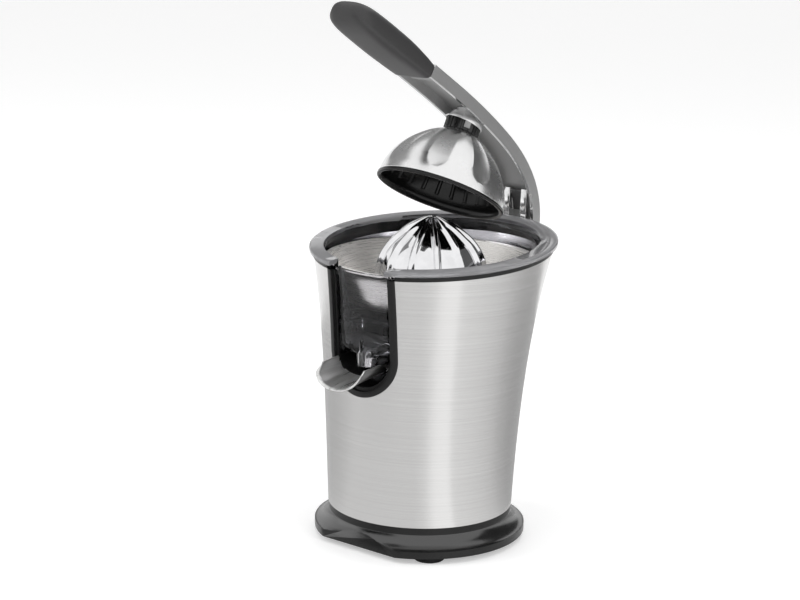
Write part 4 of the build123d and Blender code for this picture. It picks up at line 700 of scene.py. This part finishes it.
def addScreen(name, line, first, last, finish):
    # a (radius, height) line swept between two bearings from the front; only mirrors see it
    shape = bmesh.new()
    corners = [shape.verts.new((0, -radius, height)) for radius, height in line]
    edges = [shape.edges.new(pair) for pair in zip(corners, corners[1:])]
    bmesh.ops.rotate(shape, cent=(0, 0, 0), matrix=Matrix.Rotation(math.radians(first), 3, "Z"),
                     verts=corners)
    bmesh.ops.spin(shape, geom=corners + edges, cent=(0, 0, 0), axis=(0, 0, 1),
                   angle=math.radians(last - first), steps=48)
    mesh = bpy.data.meshes.new(name)
    shape.to_mesh(mesh)
    shape.free()
    mesh.materials.append(finish)
    screen = bpy.data.objects.new(name, mesh)
    bpy.context.scene.collection.objects.link(screen)
    screen.visible_camera = False
    screen.visible_diffuse = False
    screen.visible_shadow = False
    screen.visible_transmission = False


def newGlow(name, level):
    finish = bpy.data.materials.new(name)
    finish.use_nodes = True
    tree = finish.node_tree
    tree.nodes.remove(tree.nodes["Principled BSDF"])
    glow = tree.nodes.new("ShaderNodeEmission")
    glow.inputs["Strength"].default_value = level
    tree.links.new(glow.outputs[0], tree.nodes["Material Output"].inputs["Surface"])
    return finish, tree, glow


# the floor's brightness as the body mirrors it, by bearing from the front right
sheet = {
    "bearing": 38.1, "full": 1.4, "line": [(0.096, 0.0015), (0.62, 0.0015)],
    "levels": [(-179, 0.60), (-117, 0.64), (-93, 0.75), (-76, 0.88), (-35, 0.90), (-6, 0.90), (3, 1.00),
               (12, 1.30), (28, 1.36), (29.5, 1.06), (45, 1.00), (64, 0.90), (78, 0.80), (90, 0.66),
               (110, 0.52), (126, 0.50), (179, 0.55)],
}
sheetGlow, tree, glow = newGlow("floor sheet", sheet["full"])
where = tree.nodes.new("ShaderNodeTexCoord")
turned = tree.nodes.new("ShaderNodeMapping")
turned.inputs["Rotation"].default_value = (0, 0, math.radians(90 - sheet["bearing"]))
parts = tree.nodes.new("ShaderNodeSeparateXYZ")
bearing = tree.nodes.new("ShaderNodeMath")
bearing.operation = "ARCTAN2"
share = tree.nodes.new("ShaderNodeMapRange")
share.inputs["From Min"].default_value = -math.pi
share.inputs["From Max"].default_value = math.pi
ramp = tree.nodes.new("ShaderNodeValToRGB")
stops = ramp.color_ramp.elements
for i, (turn, level) in enumerate(sheet["levels"]):
    stop = stops[i] if i < 2 else stops.new(1.0)
    stop.position = (turn + 180) / 360
    stop.color = (level / sheet["full"],) * 3 + (1,)
tree.links.new(where.outputs["Object"], turned.inputs["Vector"])
tree.links.new(turned.outputs["Vector"], parts.inputs["Vector"])
tree.links.new(parts.outputs["Y"], bearing.inputs[0])
tree.links.new(parts.outputs["X"], bearing.inputs[1])
tree.links.new(bearing.outputs[0], share.inputs["Value"])
tree.links.new(share.outputs["Result"], ramp.inputs["Fac"])
tree.links.new(ramp.outputs["Color"], glow.inputs["Color"])
addScreen("floor sheet", sheet["line"], 0, 360, sheetGlow)

screens = {  # bearings from the front, distance, heights and brightness
    "right panel": (119, 192, 0.62, 0.12, 0.76, 0.10),
    "left panel": (-157, -62, 0.62, 0.42, 0.98, 0.26),
    "window shade": (-34, 8, 0.60, 0.02, 0.26, 0.02),
    "window light": (-74, -34, 0.60, 0.02, 0.20, 1.25),
}
for name, (first, last, distance, bottom, top, level) in screens.items():
    addScreen(name, [(distance, bottom), (distance, top)], first, last, newGlow(name, level)[0])

view = {
    "place": (0.8943, -1.14037, 0.51009),
    "right": (0.774145, 0.632704, 0.019608),
    "up": (-0.156917, 0.161802, 0.974267),
    "back": (0.613251, -0.757301, 0.224541),
    "lens": 90.0, "sensor": 36.0, "near": 0.05, "far": 50.0,
}
lens = bpy.data.cameras.new("view")
lens.lens = view["lens"]
lens.sensor_width = view["sensor"]
lens.clip_start = view["near"]
lens.clip_end = view["far"]
camera = bpy.data.objects.new("view", lens)
bpy.context.scene.collection.objects.link(camera)
camera.matrix_world = Matrix([*zip(view["right"], view["up"], view["back"], view["place"]), (0, 0, 0, 1)])
bpy.context.scene.camera = camera
bpy.context.scene.view_settings.view_transform = "Standard"
print("stage, light and camera set")
